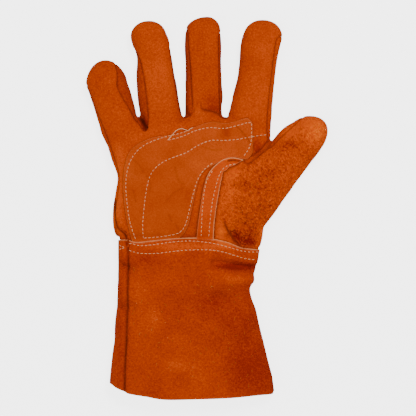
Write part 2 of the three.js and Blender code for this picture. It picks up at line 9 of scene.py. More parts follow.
import logging
import math
import random
from dataclasses import dataclass, field
from enum import Enum
from typing import Callable, Iterable, Sequence, Union

import bmesh
import bpy
import numpy as np
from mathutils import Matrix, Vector
from mathutils.bvhtree import BVHTree
from mathutils.geometry import delaunay_2d_cdt
from mathutils.kdtree import KDTree


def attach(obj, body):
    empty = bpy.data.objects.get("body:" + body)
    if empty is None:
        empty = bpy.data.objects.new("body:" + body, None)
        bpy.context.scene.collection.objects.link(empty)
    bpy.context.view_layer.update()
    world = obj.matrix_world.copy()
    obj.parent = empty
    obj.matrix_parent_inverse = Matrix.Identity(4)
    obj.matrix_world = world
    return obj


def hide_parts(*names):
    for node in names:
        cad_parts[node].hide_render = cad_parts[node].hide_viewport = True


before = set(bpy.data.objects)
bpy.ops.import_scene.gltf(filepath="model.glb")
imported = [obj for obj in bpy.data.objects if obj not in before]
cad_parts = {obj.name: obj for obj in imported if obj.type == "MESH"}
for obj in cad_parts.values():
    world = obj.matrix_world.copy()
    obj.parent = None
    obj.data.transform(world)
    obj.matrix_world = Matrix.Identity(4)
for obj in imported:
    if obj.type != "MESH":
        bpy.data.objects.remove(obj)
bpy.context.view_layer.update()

LOG = logging.getLogger("glove")

Point = tuple[float, float]
Array = np.ndarray
Faces = list[tuple[int, ...]]
Body = tuple[Array, Faces]
Shades = list[tuple[Array, float, float]]

MM = 0.001
MM_PER_PIXEL = 0.9138
WRIST_PIXEL = (191.5, 247.0)
"""The wrist's middle on the picture. The glove's own plan is measured from it."""
WRIST_PLACE = (-14.156, -35.924)
"""The same place in the shared frame, in millimetres."""

WALL = 1.6
PATCH_THICKNESS = 1.4
STRAP_THICKNESS = 2.0
LAP_CLEARANCE = 0.35
SEAM_GAP = 0.06
SEAM_HEIGHT = 9.0
FOURCHETTE_FOOT = 5.0

PALM_LENGTH = 119.0
PALM_HALF = 70.0
PALM_HEIGHT = 28.0
CROTCH_ROUNDING = 7.5
NECK_DEPTH = 14.0
NECK_STEP = 4.0
NECK_TRIM = 2.5
CUFF_LENGTH = 138.5
HEM_HALF = 75.6
WRIST_HEIGHT = 25.0
HEM_HEIGHT = 31.0
FINGER_HEIGHT = 22.0
THUMB_HEIGHT = 33.0

BODY_ROUNDNESS = 2.7
FINGER_ROUNDNESS = 2.3
TIP_ROUNDNESS = 2.1
WAIST_SHARE = 0.42
UNDERSIDE_SHARE = 0.62
UNDERSIDE_EASE = 0.9
"""How softly a section turns into its flattened underside, in millimetres."""

RING_SAMPLES = 721
CAP_RINGS = 14
CAP_SWEEP = 0.985
CAP_TAPER = 0.4
"""How much of the table's last part is read over a finger's rounded end."""
CROTCH_RINGS = 10

HAND_STEP = 1.2
HAND_SIDES = 260
FINGER_SIDES = 90
HAND_VOXEL = 1.02
CUFF_STEP = 1.5
CUFF_SIDES = 240
CUFF_VOXEL = 1.3
HEM_SPARE = 6.0
LAP_SHARE = 0.09
LAP_SPARE = 4.0
"""How far the cuff's tube runs past its hem and up over the hand, before it is cut."""

SKY = 90.0
"""A level above everything. Its negative lies below everything."""


def smoothstep(value: Array) -> Array:
    """Ease a share from 0 to 1."""
    share = np.clip(value, 0.0, 1.0)
    return share * share * (3.0 - 2.0 * share)


def plan_point(place: Point) -> Point:
    """Turn a place on the picture into millimetres from the wrist's middle."""
    return (
        (place[0] - WRIST_PIXEL[0]) * MM_PER_PIXEL,
        (WRIST_PIXEL[1] - place[1]) * MM_PER_PIXEL,
    )


def plan_line(places: Iterable[Point]) -> Array:
    """Turn places on the picture into an array of plan points."""
    return np.array([plan_point(place) for place in places])


@dataclass(frozen=True)
class Table:
    """Rows of shares or lengths with named columns, read on a smooth curve."""

    columns: tuple[str, ...]
    rows: tuple[tuple[float, ...], ...]

    def read(self, name: str, at: Array) -> Array:
        """Read a column between its rows.

        Args:
            name: The column.
            at: Places of the first column.

        Returns:
            The column's values there.
        """
        data = np.array(self.rows)
        stations, values = data[:, 0], data[:, self.columns.index(name)]
        place = np.clip(np.asarray(at, dtype=float), stations[0], stations[-1])
        high = np.clip(np.searchsorted(stations, place, side="right"), 1, len(stations) - 1)
        low = high - 1
        before = np.maximum(low - 1, 0)
        after = np.minimum(high + 1, len(stations) - 1)
        span = stations[high] - stations[low]
        share = (place - stations[low]) / span
        slope_low = (values[high] - values[before]) / (stations[high] - stations[before]) * span
        slope_high = (values[after] - values[low]) / (stations[after] - stations[low]) * span
        square, cube = share ** 2, share ** 3
        return (
            (2 * cube - 3 * square + 1) * values[low] + (cube - 2 * square + share) * slope_low
            + (3 * square - 2 * cube) * values[high] + (cube - square) * slope_high
        )


HAND_TABLE = Table(
    ("along", "left", "right", "top"),
    (
        (-0.12, 0.95, 0.88, 0.86), (0.0, 0.96, 0.9, 0.88), (0.085, 0.992, 0.927, 0.91),
        (0.16, 1.025, 0.946, 0.94), (0.3, 1.025, 0.979, 0.98), (0.44, 0.986, 1.0, 1.0),
        (0.546, 0.973, 1.01, 1.0), (0.67, 1.044, 1.025, 0.98), (0.76, 1.09, 1.03, 0.94),
        (0.854, 1.142, 1.03, 0.89), (0.94, 1.19, 1.035, 0.83), (1.0, 1.2, 1.03, 0.79),
    ),
)
CUFF_TABLE = Table(
    ("along", "left", "right", "rise"),
    (
        (-0.1, 0.888, 0.858, 0.0), (0.02, 0.888, 0.828, 0.0), (0.1, 0.888, 0.804, 0.0),
        (0.18, 0.888, 0.767, -0.15), (0.258, 0.888, 0.712, 0.15), (0.337, 0.9, 0.726, 0.1),
        (0.416, 0.912, 0.779, 0.0), (0.495, 0.924, 0.816, 0.15), (0.62, 0.938, 0.876, 0.3),
        (0.733, 0.961, 0.924, 0.5), (0.852, 0.985, 0.973, 0.75), (1.0, 1.003, 1.021, 1.0),
    ),
)
FINGER_COLUMNS = ("along", "left", "right", "top", "lift")
LITTLE_TABLE = Table(FINGER_COLUMNS, (
    (-0.4, 0.7, 0.7, 0.7, 0.15), (-0.08, 0.98, 0.86, 0.95, 0.0), (0.07, 0.99, 0.9, 1.0, 0.0),
    (0.2, 1.0, 0.93, 1.0, 0.0), (0.4, 1.06, 0.91, 0.95, 0.03), (0.6, 1.12, 0.86, 0.93, 0.1),
    (0.72, 1.13, 0.82, 0.9, 0.16), (1.0, 0.5, 0.4, 0.8, 0.26),
))
RING_TABLE = Table(FINGER_COLUMNS, (
    (-0.25, 0.85, 0.95, 0.7, 0.15), (0.0, 1.1, 1.18, 0.97, 0.0), (0.15, 1.15, 1.12, 1.02, 0.0),
    (0.3, 1.15, 1.1, 0.98, 0.0), (0.47, 1.1, 1.02, 0.95, 0.03), (0.65, 0.95, 0.98, 0.93, 0.1),
    (0.78, 1.08, 0.94, 0.92, 0.17), (0.87, 1.13, 0.8, 0.9, 0.22), (1.0, 0.86, 0.5, 0.8, 0.28),
))
MIDDLE_TABLE = Table(FINGER_COLUMNS, (
    (-0.25, 0.9, 0.95, 0.7, 0.15), (0.0, 1.08, 1.04, 0.97, 0.0), (0.1, 1.09, 1.02, 1.02, 0.0),
    (0.2, 1.08, 1.1, 1.0, 0.0), (0.33, 1.07, 1.03, 0.97, 0.0), (0.47, 1.06, 0.99, 0.97, 0.03),
    (0.72, 1.12, 0.97, 0.94, 0.14), (0.87, 1.02, 0.93, 0.9, 0.22), (1.0, 0.6, 0.85, 0.8, 0.28),
))
INDEX_TABLE = Table(FINGER_COLUMNS, (
    (-0.25, 0.95, 0.95, 0.7, 0.15), (-0.05, 1.15, 1.12, 0.95, 0.0), (0.05, 1.18, 1.1, 1.0, 0.0),
    (0.25, 1.08, 1.03, 0.99, 0.0), (0.43, 0.96, 0.99, 0.95, 0.02), (0.62, 0.99, 0.99, 0.95, 0.09),
    (0.77, 1.0, 1.03, 0.94, 0.16), (0.87, 0.9, 1.05, 0.9, 0.22), (1.0, 0.5, 0.8, 0.8, 0.28),
))
THUMB_TABLE = Table(FINGER_COLUMNS, (
    (-0.06, 0.45, 0.45, 0.5, 0.1), (0.05, 1.1, 0.93, 0.78, 0.0), (0.17, 1.58, 1.0, 0.92, 0.0),
    (0.3, 1.61, 0.95, 1.0, 0.0), (0.4, 1.5, 0.9, 1.0, 0.01), (0.52, 1.24, 0.86, 0.96, 0.04),
    (0.62, 1.09, 0.835, 0.9, 0.08), (0.7, 1.08, 0.82, 0.85, 0.12), (0.78, 1.0, 0.8, 0.79, 0.16),
    (0.85, 0.84, 0.77, 0.72, 0.2), (1.0, 0.3, 0.74, 0.62, 0.24),
))


@dataclass(frozen=True)
class Finger:
    """A finger or thumb tube: its table, its size and where it grows from the palm."""

    table: Table
    length: float
    half_width: float
    height: float
    root: Point
    turn: float
    cap: float
    lean: float = 0.0

    def start(self) -> float:
        """Share of the length at which the tube begins, inside the palm."""
        return self.table.rows[0][0]

    def place(self, along: Array, across: Array, level: Array) -> Array:
        """Put points of the tube into the plan.

        Args:
            along: Distances along the middle line.
            across: Distances from the middle line, to the right.
            level: Heights.

        Returns:
            The points, one row each.
        """
        angle = math.radians(self.turn)
        ahead = np.array([-math.sin(angle), math.cos(angle)])
        aside = np.array([math.cos(angle), math.sin(angle)])
        origin = np.array([self.root[0] * PALM_HALF, self.root[1] * PALM_LENGTH])
        flat = origin + along[..., None] * ahead + across[..., None] * aside
        return np.concatenate([flat, level[..., None]], axis=-1)


FINGERS = {
    "little": Finger(LITTLE_TABLE, 62.0, 18.5, FINGER_HEIGHT, (-0.933, 0.931), 13.6, 0.3),
    "ring": Finger(RING_TABLE, 91.0, 16.5, FINGER_HEIGHT, (-0.398, 0.977), 6.6, 0.14),
    "middle": Finger(MIDDLE_TABLE, 91.5, 16.0, FINGER_HEIGHT, (0.163, 1.0), 0.0, 0.13, 3.2),
    "index": Finger(INDEX_TABLE, 94.0, 17.35, FINGER_HEIGHT, (0.764, 0.962), -7.8, 0.14),
    "thumb": Finger(THUMB_TABLE, 121.5, 21.0, THUMB_HEIGHT, (0.607, 0.192), -39.2, 0.16),
}


@dataclass
class Sections:
    """The rings of a tube: edges, widest level, rise, drop and flattened underside."""

    left: Array
    right: Array
    waist: Array
    up: Array
    down: Array
    floor: Array
    roundness: float

    @classmethod
    def plain(cls, left: Array, right: Array, height: Array, roundness: float) -> "Sections":
        """Sections that rest on the ground.

        Args:
            left: Reach to the left.
            right: Reach to the right.
            height: Full height.
            roundness: 2 for an ellipse, more for a squarer form.

        Returns:
            The sections.
        """
        return cls(
            left, right, WAIST_SHARE * height, (1 - WAIST_SHARE) * height,
            UNDERSIDE_SHARE * height, np.zeros_like(height), roundness,
        )

    def grown(self, by: float) -> "Sections":
        """The same sections, larger all round by a distance."""
        return Sections(
            self.left + by, self.right + by, self.waist, self.up + by, self.down + by,
            self.floor - by, self.roundness,
        )

    def narrowed(self, share: Array) -> "Sections":
        """The same sections, drawn in about their middles for a rounded end.

        Args:
            share: How much of its width each section keeps.

        Returns:
            The new sections.
        """
        middle = (self.right - self.left) / 2
        half = (self.right + self.left) / 2 * share
        floor = self.waist + (self.floor - self.waist) * np.minimum(1.0, share * 1.3)
        return Sections(
            half - middle, half + middle, self.waist, self.up * share, self.down * share,
            floor, self.roundness,
        )

    def rings(self, sides: int) -> tuple[Array, Array]:
        """Points round every section, evenly spaced.

        Args:
            sides: Points on a ring.

        Returns:
            How far across and how high each point lies, a row for each ring.
        """
        angle = np.linspace(0.0, 2 * math.pi, RING_SAMPLES)
        cosine, sine = np.cos(angle), np.sin(angle)
        swell = np.abs(sine) ** (2 / self.roundness)
        sweep = np.sign(cosine) * np.abs(cosine) ** (2 / self.roundness)
        middle = ((self.right - self.left) / 2)[:, None]
        half = ((self.right + self.left) / 2)[:, None]
        across = middle + half * sweep
        rise = np.where(sine > 0, self.up[:, None] * swell, -self.down[:, None] * swell)
        over = self.waist[:, None] + rise - self.floor[:, None]
        level = self.floor[:, None] + (over + np.sqrt(over ** 2 + UNDERSIDE_EASE ** 2)) / 2
        run = np.hypot(np.diff(across, axis=1), np.diff(level, axis=1))
        reach = np.concatenate([np.zeros((len(run), 1)), np.cumsum(run, axis=1)], axis=1)
        stations = np.linspace(0.0, 1.0, sides, endpoint=False)
        evened = [
            (np.interp(stations * row[-1], row, wide), np.interp(stations * row[-1], row, high))
            for row, wide, high in zip(reach, across, level)
        ]
        return np.array([pair[0] for pair in evened]), np.array([pair[1] for pair in evened])


def loft_faces(rings: int, sides: int) -> Faces:
    """Faces of a closed body through rings, with a middle point after the last ring of each end.

    Args:
        rings: How many rings.
        sides: Points on a ring.

    Returns:
        The faces, facing outward for rings that run to the fingertips.
    """
    faces: Faces = []
    for ring in range(rings - 1):
        for side in range(sides):
            follow = (side + 1) % sides
            here, there = ring * sides, (ring + 1) * sides
            faces.append((here + side, there + side, there + follow, here + follow))
    first, last = rings * sides, rings * sides + 1
    end = (rings - 1) * sides
    for side in range(sides):
        follow = (side + 1) % sides
        faces.append((first, side, follow))
        faces.append((last, end + follow, end + side))
    return faces


def loft(points: Array) -> Body:
    """Close a stack of rings into a body.

    Args:
        points: Rings by sides by three.

    Returns:
        Its points and faces.
    """
    rings, sides = points.shape[:2]
    ends = np.array([points[0].mean(axis=0), points[-1].mean(axis=0)])
    return np.vstack([points.reshape(-1, 3), ends]), loft_faces(rings, sides)


def joined(bodies: Iterable[Body]) -> Body:
    """Put bodies together.

    Args:
        bodies: Points and faces of each.

    Returns:
        All their points, and all their faces.
    """
    points: list[Array] = []
    faces: Faces = []
    count = 0
    for body_points, body_faces in bodies:
        points.append(body_points)
        faces += [tuple(pick + count for pick in face) for face in body_faces]
        count += len(body_points)
    return np.vstack(points), faces


def cap_shares(steps: int) -> tuple[Array, Array]:
    """How far along and how wide the rings of a rounded end are."""
    angle = np.linspace(0.0, math.pi / 2 * CAP_SWEEP, steps)
    return np.sin(angle) ** (2 / TIP_ROUNDNESS), np.cos(angle) ** (2 / TIP_ROUNDNESS)


def finger_tube(finger: Finger) -> Body:
    """A finger as a closed body.

    Args:
        finger: The finger.

    Returns:
        Its points and faces.
    """
    begin, cap_begin = finger.start(), 1.0 - finger.cap
    count = int((cap_begin - begin) * finger.length / HAND_STEP)
    body = np.linspace(begin, cap_begin, count)[:-1]
    ahead, width = cap_shares(CAP_RINGS)
    share = np.concatenate([body, cap_begin + finger.cap * ahead * CAP_TAPER])
    along = np.concatenate([body * finger.length, (cap_begin + finger.cap * ahead) * finger.length])
    narrow = np.concatenate([np.ones(len(body)), width])
    read = finger.table.read
    sections = Sections.plain(
        read("left", share) * finger.half_width, read("right", share) * finger.half_width,
        read("top", share) * finger.height, FINGER_ROUNDNESS,
    ).narrowed(narrow)
    across, level = sections.rings(FINGER_SIDES)
    across = across + (finger.lean * (1 - narrow))[:, None]
    lift = (read("lift", share) * finger.height)[:, None]
    return loft(finger.place(np.repeat(along[:, None], FINGER_SIDES, axis=1), across, level + lift))


def cuff_sections(level: Array) -> Sections:
    """Sections of the cuff.

    Args:
        level: Places along the glove.

    Returns:
        A section for each place.
    """
    share = -level / CUFF_LENGTH
    height = WRIST_HEIGHT + (HEM_HEIGHT - WRIST_HEIGHT) * CUFF_TABLE.read("rise", share)
    return Sections.plain(
        CUFF_TABLE.read("left", share) * HEM_HALF, CUFF_TABLE.read("right", share) * HEM_HALF,
        height, BODY_ROUNDNESS,
    )


LAP_LEVELS = {"left": 6.9, "right": -2.2, "top": 8.7}
"""How far up the hand the cuff's lap covers it."""


def hand_sections(level: Array) -> Sections:
    """Sections of the hand, narrowed below the lap to a neck that fits inside the cuff.

    Args:
        level: Places along the glove.

    Returns:
        A section for each place.
    """
    share = level / PALM_LENGTH
    free = Sections.plain(
        HAND_TABLE.read("left", share) * PALM_HALF, HAND_TABLE.read("right", share) * PALM_HALF,
        HAND_TABLE.read("top", share) * PALM_HEIGHT, BODY_ROUNDNESS,
    )
    neck = cuff_sections(level).grown(-WALL - LAP_CLEARANCE)
    over = {
        side: smoothstep((level - edge - LAP_CLEARANCE) / NECK_STEP)
        for side, edge in LAP_LEVELS.items()
    }

    def blend(name: str, side: str) -> Array:
        """Mix the neck's and the free section's values of one kind."""
        low, high = getattr(neck, name), getattr(free, name)
        return low + (high - low) * over[side]

    return Sections(
        blend("left", "left"), blend("right", "right"), blend("waist", "top"),
        blend("up", "top"), blend("down", "top"), blend("floor", "top"), BODY_ROUNDNESS,
    )


def hand_tube() -> Body:
    """The hand as a closed body, from the neck to the crotches of the fingers.

    Returns:
        Its points and faces.
    """
    body_end = PALM_LENGTH - CROTCH_ROUNDING
    body = np.arange(-NECK_DEPTH + NECK_TRIM, body_end, HAND_STEP)
    ahead, width = cap_shares(CROTCH_RINGS)
    level = np.concatenate([body, body_end + CROTCH_ROUNDING * ahead])
    sections = hand_sections(level)
    narrow = np.concatenate([np.ones(len(body)), width])
    drawn_in = np.concatenate([np.zeros(len(body)), CROTCH_ROUNDING * ahead])
    shaped = sections.narrowed(narrow)
    shaped.left, shaped.right = sections.left - drawn_in, sections.right - drawn_in
    across, high = shaped.rings(HAND_SIDES)
    return loft(np.stack([across, np.repeat(level[:, None], HAND_SIDES, axis=1), high], axis=-1))


def cuff_tube() -> Body:
    """The cuff as a closed body, past its lap and its hem.

    Returns:
        Its points and faces.
    """
    level = np.arange(-CUFF_LENGTH - HEM_SPARE, CUFF_LENGTH * LAP_SHARE + LAP_SPARE, CUFF_STEP)
    across, high = cuff_sections(level).rings(CUFF_SIDES)
    return loft(np.stack([across, np.repeat(level[:, None], CUFF_SIDES, axis=1), high], axis=-1))


def line_distance(points: Array, line: Array) -> Array:
    """Distance in plan from points to the nearest place on a line.

    Args:
        points: Points, of which X and Y are used.
        line: The line's points.

    Returns:
        A distance for each point.
    """
    nearest = np.full(len(points), np.inf)
    for begin, end in zip(line[:-1], line[1:]):
        run = end - begin
        away = points[:, :2] - begin
        share = np.clip(away @ run / max(float(run @ run), 1e-9), 0.0, 1.0)
        nearest = np.minimum(nearest, np.hypot(*(away - share[:, None] * run).T))
    return nearest


def smooth_line(line: Array, steps: int = 6, closed: bool = False) -> Array:
    """A rounded line through points.

    Args:
        line: The points.
        steps: Places made between two points.
        closed: Whether the line comes back to its start.

    Returns:
        The places on the rounded line.
    """
    count = len(line)
    spans = count if closed else count - 1
    places = []
    for span in range(spans):
        picks = [span - 1, span, span + 1, span + 2]
        picks = [pick % count if closed else min(max(pick, 0), count - 1) for pick in picks]
        first, low, high, last = (line[pick] for pick in picks)
        for step in range(steps):
            share = step / steps
            places.append(0.5 * (
                2 * low + (high - first) * share + (2 * first - 5 * low + 4 * high - last) * share ** 2
                + (3 * low - first - 3 * high + last) * share ** 3
            ))
    if not closed:
        places.append(line[-1])
    return np.array(places)


def drawn(places: Iterable[Point], steps: int = 4, closed: bool = False) -> Array:
    """A rounded line of the plan through places on the picture."""
    return smooth_line(plan_line(places), steps, closed)


def ringed(outline: Array) -> Array:
    """An outline as a line that comes back to its start."""
    return np.vstack([outline, outline[:1]])


def turning(outline: Array) -> float:
    """Twice the area inside a closed outline, above zero if it runs anticlockwise."""
    after = np.roll(outline, -1, axis=0)
    return float(np.sum(outline[:, 0] * after[:, 1] - after[:, 0] * outline[:, 1]))


def falloff(away: Array, reach: float) -> Array:
    """A share that is 1 at no distance and dies away over the reach."""
    return np.exp(-(away / reach) ** 2)


def even_line(line: Array, pitch: float) -> Array:
    """Places at an even pitch along a line.

    Args:
        line: Points of the plan.
        pitch: Distance between the places.

    Returns:
        The places.
    """
    run = np.hypot(*np.diff(line, axis=0).T)
    reach = np.concatenate([[0.0], np.cumsum(run)])
    stations = np.arange(0.0, reach[-1], pitch)
    return np.stack([np.interp(stations, reach, line[:, axis]) for axis in (0, 1)], axis=-1)


def spread(outline: Array, by: float) -> Array:
    """Move a closed outline outward.

    Args:
        outline: Its points.
        by: The distance.

    Returns:
        The moved points.
    """
    run = np.roll(outline, -1, axis=0) - np.roll(outline, 1, axis=0)
    run /= np.maximum(np.hypot(*run.T), 1e-9)[:, None]
    return outline + np.sign(turning(outline)) * by * np.stack([run[:, 1], -run[:, 0]], axis=-1)


FOLD_COLUMNS = ("from_x", "from_y", "to_x", "to_y", "reach", "rise")
MAIN_FOLDS = (
    (-0.45, 0.3, 0.1, 0.6, 0.45, -0.1), (-0.6, 0.68, 0.55, 0.84, 0.16, 0.05),
    (0.38, -0.11, 0.84, -0.19, 0.09, -0.16), (0.42, -0.25, 0.78, -0.22, 0.12, 0.1),
    (0.2, -0.38, 0.5, -0.42, 0.12, -0.1), (-1.0, -0.13, -0.8, -0.18, 0.07, -0.12),
    (-1.0, -0.45, -0.8, -0.47, 0.08, -0.12), (-0.5, -0.6, 0.1, -0.8, 0.3, 0.06),
    (0.25, -0.85, 0.85, -0.7, 0.2, -0.08), (0.5, 0.05, 0.62, 0.16, 0.07, -0.14),
)
"""Folds of the solid model, in shares of the half palm and of the palm's length and height."""

CREASES = (
    (237, 127, 248, 139, 2.2, -0.9), (233, 235, 239, 242.5, 3.2, -1.2),
    (239, 242.5, 247, 248.5, 3.2, -1.4), (116.4, 223, 119.6, 229.5, 1.5, -1.2),
    (119.6, 229.5, 124.6, 233.6, 1.5, -1.7), (124.6, 233.6, 126.8, 244, 1.5, -1.7),
    (155, 36, 157, 70, 2.6, -0.4), (160.5, 40, 163.5, 74, 2.6, -0.35),
    (118, 265, 127, 268, 1.6, -1.6), (116, 306, 127, 309, 1.6, -1.6),
    (114, 340, 126, 342, 2.7, -0.9), (118, 287, 126, 290, 5.0, 1.0), (214, 263, 260, 270, 3.2, -3.6),
    (226, 279, 250, 280, 6.0, 2.0), (141.5, 118.5, 146, 128, 2.0, -4.0), (250, 178, 300, 146, 2.7, -0.8),
    (246, 190, 292, 172, 2.8, -0.7), (240, 172, 262, 232, 3.0, -0.6), (262, 170, 306, 132, 3.0, 0.5),
    (205, 296, 226, 301, 6.0, -0.8), (142, 300, 170, 318, 9.0, 0.6), (172, 352, 190, 368, 12.0, 0.8),
    (228, 340, 262, 352, 8.0, -0.9), (236, 362, 266, 382, 6.0, 0.6),
    (141, 60, 166, 64, 3.0, -0.4), (142, 86, 172, 88, 3.5, -0.5), (190, 62, 218, 60, 3.0, -0.4),
    (192, 92, 220, 94, 3.5, -0.5), (242, 66, 272, 70, 3.5, -0.4), (236, 96, 268, 98, 3.5, -0.5),
    (100, 98, 118, 88, 3.0, -0.5), (276, 160, 292, 172, 4.0, -0.7), (254, 180, 272, 196, 5.0, -0.6),
    (246, 208, 258, 226, 5.0, 0.7), (150, 176, 186, 168, 9.0, -0.5), (146, 214, 176, 206, 8.0, 0.5),
)
"""Smaller creases: from and to on the picture, reach and rise in millimetres."""

CREASE_REACH, CREASE_RISE = 4, 5
"""The columns of a crease that hold its reach and its rise."""

NARROW_CREASE = 2.6
# Creases that reach less than this get painted shade along their bottom, in millimetres.
"""Creases that reach less than this are dark along their bottom, in millimetres."""

FLAP_LINE = ((224.5, 223), (227.5, 229.5), (231, 235.5), (236, 242), (243, 248.6))
"""Edge of the soft flap of leather beside the strap's foot, on the picture."""

FLAP_STEP = 1.3
FLAP_EASE = 0.8
FLAP_REACH = 5.5
"""How far the leather steps down there, over what width, and how far the step is felt."""


def crease_line(row: Sequence[float]) -> Array:
    """The line of a crease on the plan."""
    return plan_line((row[0:2], row[2:4]))


def narrow_creases() -> list[Array]:
    """The lines of the creases that get painted shade along their bottom."""
    return [
        crease_line(row) for row in CREASES
        if row[CREASE_RISE] < 0 and row[CREASE_REACH] < NARROW_CREASE
    ]


def relief(points: Array) -> Array:
    """Height that folds and creases add to the upper side.

    Args:
        points: Points, of which the plan is used.

    Returns:
        A height for each point.
    """
    rise = np.zeros(len(points))
    for row in MAIN_FOLDS:
        fold = dict(zip(FOLD_COLUMNS, row))
        line = np.array([
            [fold["from_x"] * PALM_HALF, fold["from_y"] * PALM_LENGTH],
            [fold["to_x"] * PALM_HALF, fold["to_y"] * PALM_LENGTH],
        ])
        away = line_distance(points, line)
        rise += fold["rise"] * PALM_HEIGHT * falloff(away, fold["reach"] * PALM_HALF)
    for row in CREASES:
        away = line_distance(points, crease_line(row))
        rise += row[CREASE_RISE] * falloff(away, row[CREASE_REACH])
    beside = side_distance(points, drawn(FLAP_LINE))
    return rise - FLAP_STEP * np.tanh(beside / FLAP_EASE) * falloff(beside, FLAP_REACH)


def side_distance(points: Array, line: Array) -> Array:
    """Distance of points from a line, told apart by its sides.

    Args:
        points: Points, of which the plan is used.
        line: The line's points.

    Returns:
        A distance for each point, above zero on the line's left.
    """
    nearest_yet = np.full(len(points), np.inf)
    signed = np.zeros(len(points))
    for begin, end in zip(line[:-1], line[1:]):
        run, out = end - begin, points[:, :2] - begin
        share = np.clip(out @ run / (run @ run), 0.0, 1.0)
        away = np.hypot(*(out - share[:, None] * run).T)
        closer = away < nearest_yet
        nearest_yet[closer] = away[closer]
        cross = run[0] * out[:, 1] - run[1] * out[:, 0]
        signed[closer] = (np.sign(cross) * away)[closer]
    return signed


TONE_AND_LIGHT_CLOUDS = (
    (144.5, 124, 2.6, 5.5, -2.4), (238, 266.5, 20, 2.6, -1.7), (145, 260, 14, 5, -0.6),
    (232, 368, 22, 26, -0.5), (286, 130, 10, 9, 0.9), (213, 300, 14, 9, -0.8), (248, 330, 26, 40, -0.7),
    (262, 375, 28, 34, -0.8), (240, 267, 20, 4, -1.1), (238, 279, 14, 5, 0.5), (180, 364, 16, 8, 0.7),
    (154, 317, 8, 12, 0.6), (214, 318, 28, 22, -0.3), (165, 262, 30, 8, -0.2), (138, 330, 9, 50, 0.3),
    (121, 330, 4.5, 70, -0.4), (190, 246, 60, 4, 0.9), (205, 40, 12, 26, -0.1), (214, 100, 9, 12, -0.6),
    (211, 109, 8, 2.6, -0.9), (197, 110, 3, 5, 0.6), (100, 72, 12, 14, -0.35), (256, 92, 14, 22, 0.15),
    (316, 132, 12, 14, 1.7), (288, 146, 12, 5, -1.0), (268, 173, 12, 3.5, -0.8), (302, 180, 7, 16, 0.6),
    (283, 206, 6, 12, 0.6), (262, 234, 3.5, 9, 1.8), (236, 236, 5, 7, -1.8), (247, 242, 9, 5, -1.9),
    (250, 234, 10, 9, -1.2), (220, 234, 4, 8, 1.0), (227, 243, 6, 4, 1.2), (113.6, 214, 2.6, 18, 1.2),
    (256, 212, 10, 12, -0.5), (236, 175, 8, 6, 0.8), (243, 184, 6, 5, -0.6), (231, 193, 6, 8, 0.35),
    (120, 214, 5, 20, 0.5), (126, 160, 8, 20, 0.3), (226, 133, 6, 7, -0.9), (205, 140, 30, 10, -0.3),
    (225, 190, 8, 22, 0.35), (150, 130, 16, 6, 0.15), (119, 185, 4, 40, 0.7), (300, 120, 14, 8, 0.3),
    (160, 200, 20, 24, 0.1), (206, 205, 8, 26, 0.4), (232, 190, 8, 12, 0.35), (262, 186, 16, 6, -0.4),
    (222, 236, 4, 10, 0.5), (257, 148, 4.5, 7, -1.5), (148, 40, 8, 14, 0.1), (188, 210, 6, 26, -0.3),
)
# Clouds of the leather's own colour, mixed with painted shade under folds and in creases and crotches, and
# painted highlights on lit rims, lobes and swellings: place and reach on the picture, and how much lighter
# or darker.
"""Clouds of the leather: place and reach on the picture, and how much lighter or darker."""


def tone_and_light_at(points: Array) -> Array:
    """How much lighter or darker the leather is painted: its own clouds, with painted shade and
    highlights.

    Args:
        points: Points, of which the plan is used.

    Returns:
        A value for each point, above zero where the leather is lighter.
    """
    total = np.zeros(len(points))
    for wide, long, across, along, amount in TONE_AND_LIGHT_CLOUDS:
        middle = plan_point((wide, long))
        away = ((points[:, 0] - middle[0]) / (across * MM_PER_PIXEL)) ** 2
        away += ((points[:, 1] - middle[1]) / (along * MM_PER_PIXEL)) ** 2
        total += amount * np.exp(-away)
    return total


class Grain:
    """Smooth random relief that is the same on every run."""

    CELLS = 48

    def __init__(self, seed: int) -> None:
        """Fill the lattice."""
        source = np.random.default_rng(seed)
        self.lattice = source.uniform(-1.0, 1.0, (self.CELLS, self.CELLS, self.CELLS))

    def read(self, points: Array, size: float) -> Array:
        """Relief at points.

        Args:
            points: The points.
            size: Width of a bump.

        Returns:
            A value from -1 to 1 for each point.
        """
        place = points / size
        cell = np.floor(place).astype(int)
        share = smoothstep(place - cell)
        total = np.zeros(len(points))
        for corner in np.ndindex(2, 2, 2):
            pick = (cell + corner) % self.CELLS
            weight = np.prod(np.where(corner, share, 1.0 - share), axis=1)
            total += weight * self.lattice[pick[:, 0], pick[:, 1], pick[:, 2]]
        return total


GRAIN = Grain(7)


def make_object(name: str, points: Array, faces: Sequence[Sequence[int]]) -> bpy.types.Object:
    """Put a mesh into the scene.

    Args:
        name: The object's name.
        points: The mesh's points.
        faces: Its faces.

    Returns:
        The object.
    """
    mesh = bpy.data.meshes.new(name)
    mesh.from_pydata(points.tolist(), [], [tuple(int(pick) for pick in face) for face in faces])
    mesh.update()
    thing = bpy.data.objects.new(name, mesh)
    bpy.context.scene.collection.objects.link(thing)
    return thing


def settle(thing: bpy.types.Object) -> bpy.types.Mesh:
    """Turn an object into its mesh.

    Args:
        thing: The object, which is removed.

    Returns:
        Its mesh with the modifiers applied.
    """
    graph = bpy.context.evaluated_depsgraph_get()
    mesh = bpy.data.meshes.new_from_object(thing.evaluated_get(graph))
    bpy.data.objects.remove(thing, do_unlink=True)
    return mesh


def read_points(mesh: bpy.types.Mesh) -> Array:
    """Read a mesh's vertices.

    Args:
        mesh: The mesh.

    Returns:
        Their places, one row each.
    """
    flat = np.empty(len(mesh.vertices) * 3)
    mesh.vertices.foreach_get("co", flat)
    return flat.reshape(-1, 3)


def write_points(mesh: bpy.types.Mesh, points: Array) -> None:
    """Put points into the mesh's vertices."""
    mesh.vertices.foreach_set("co", points.ravel())
    mesh.update()


def write_mask(mesh: bpy.types.Mesh, name: str, values: Array) -> None:
    """Keep one value for each vertex under a name that a finish reads."""
    layer = mesh.attributes.new(name, "FLOAT", "POINT")
    layer.data.foreach_set("value", np.asarray(values, dtype=np.float32))


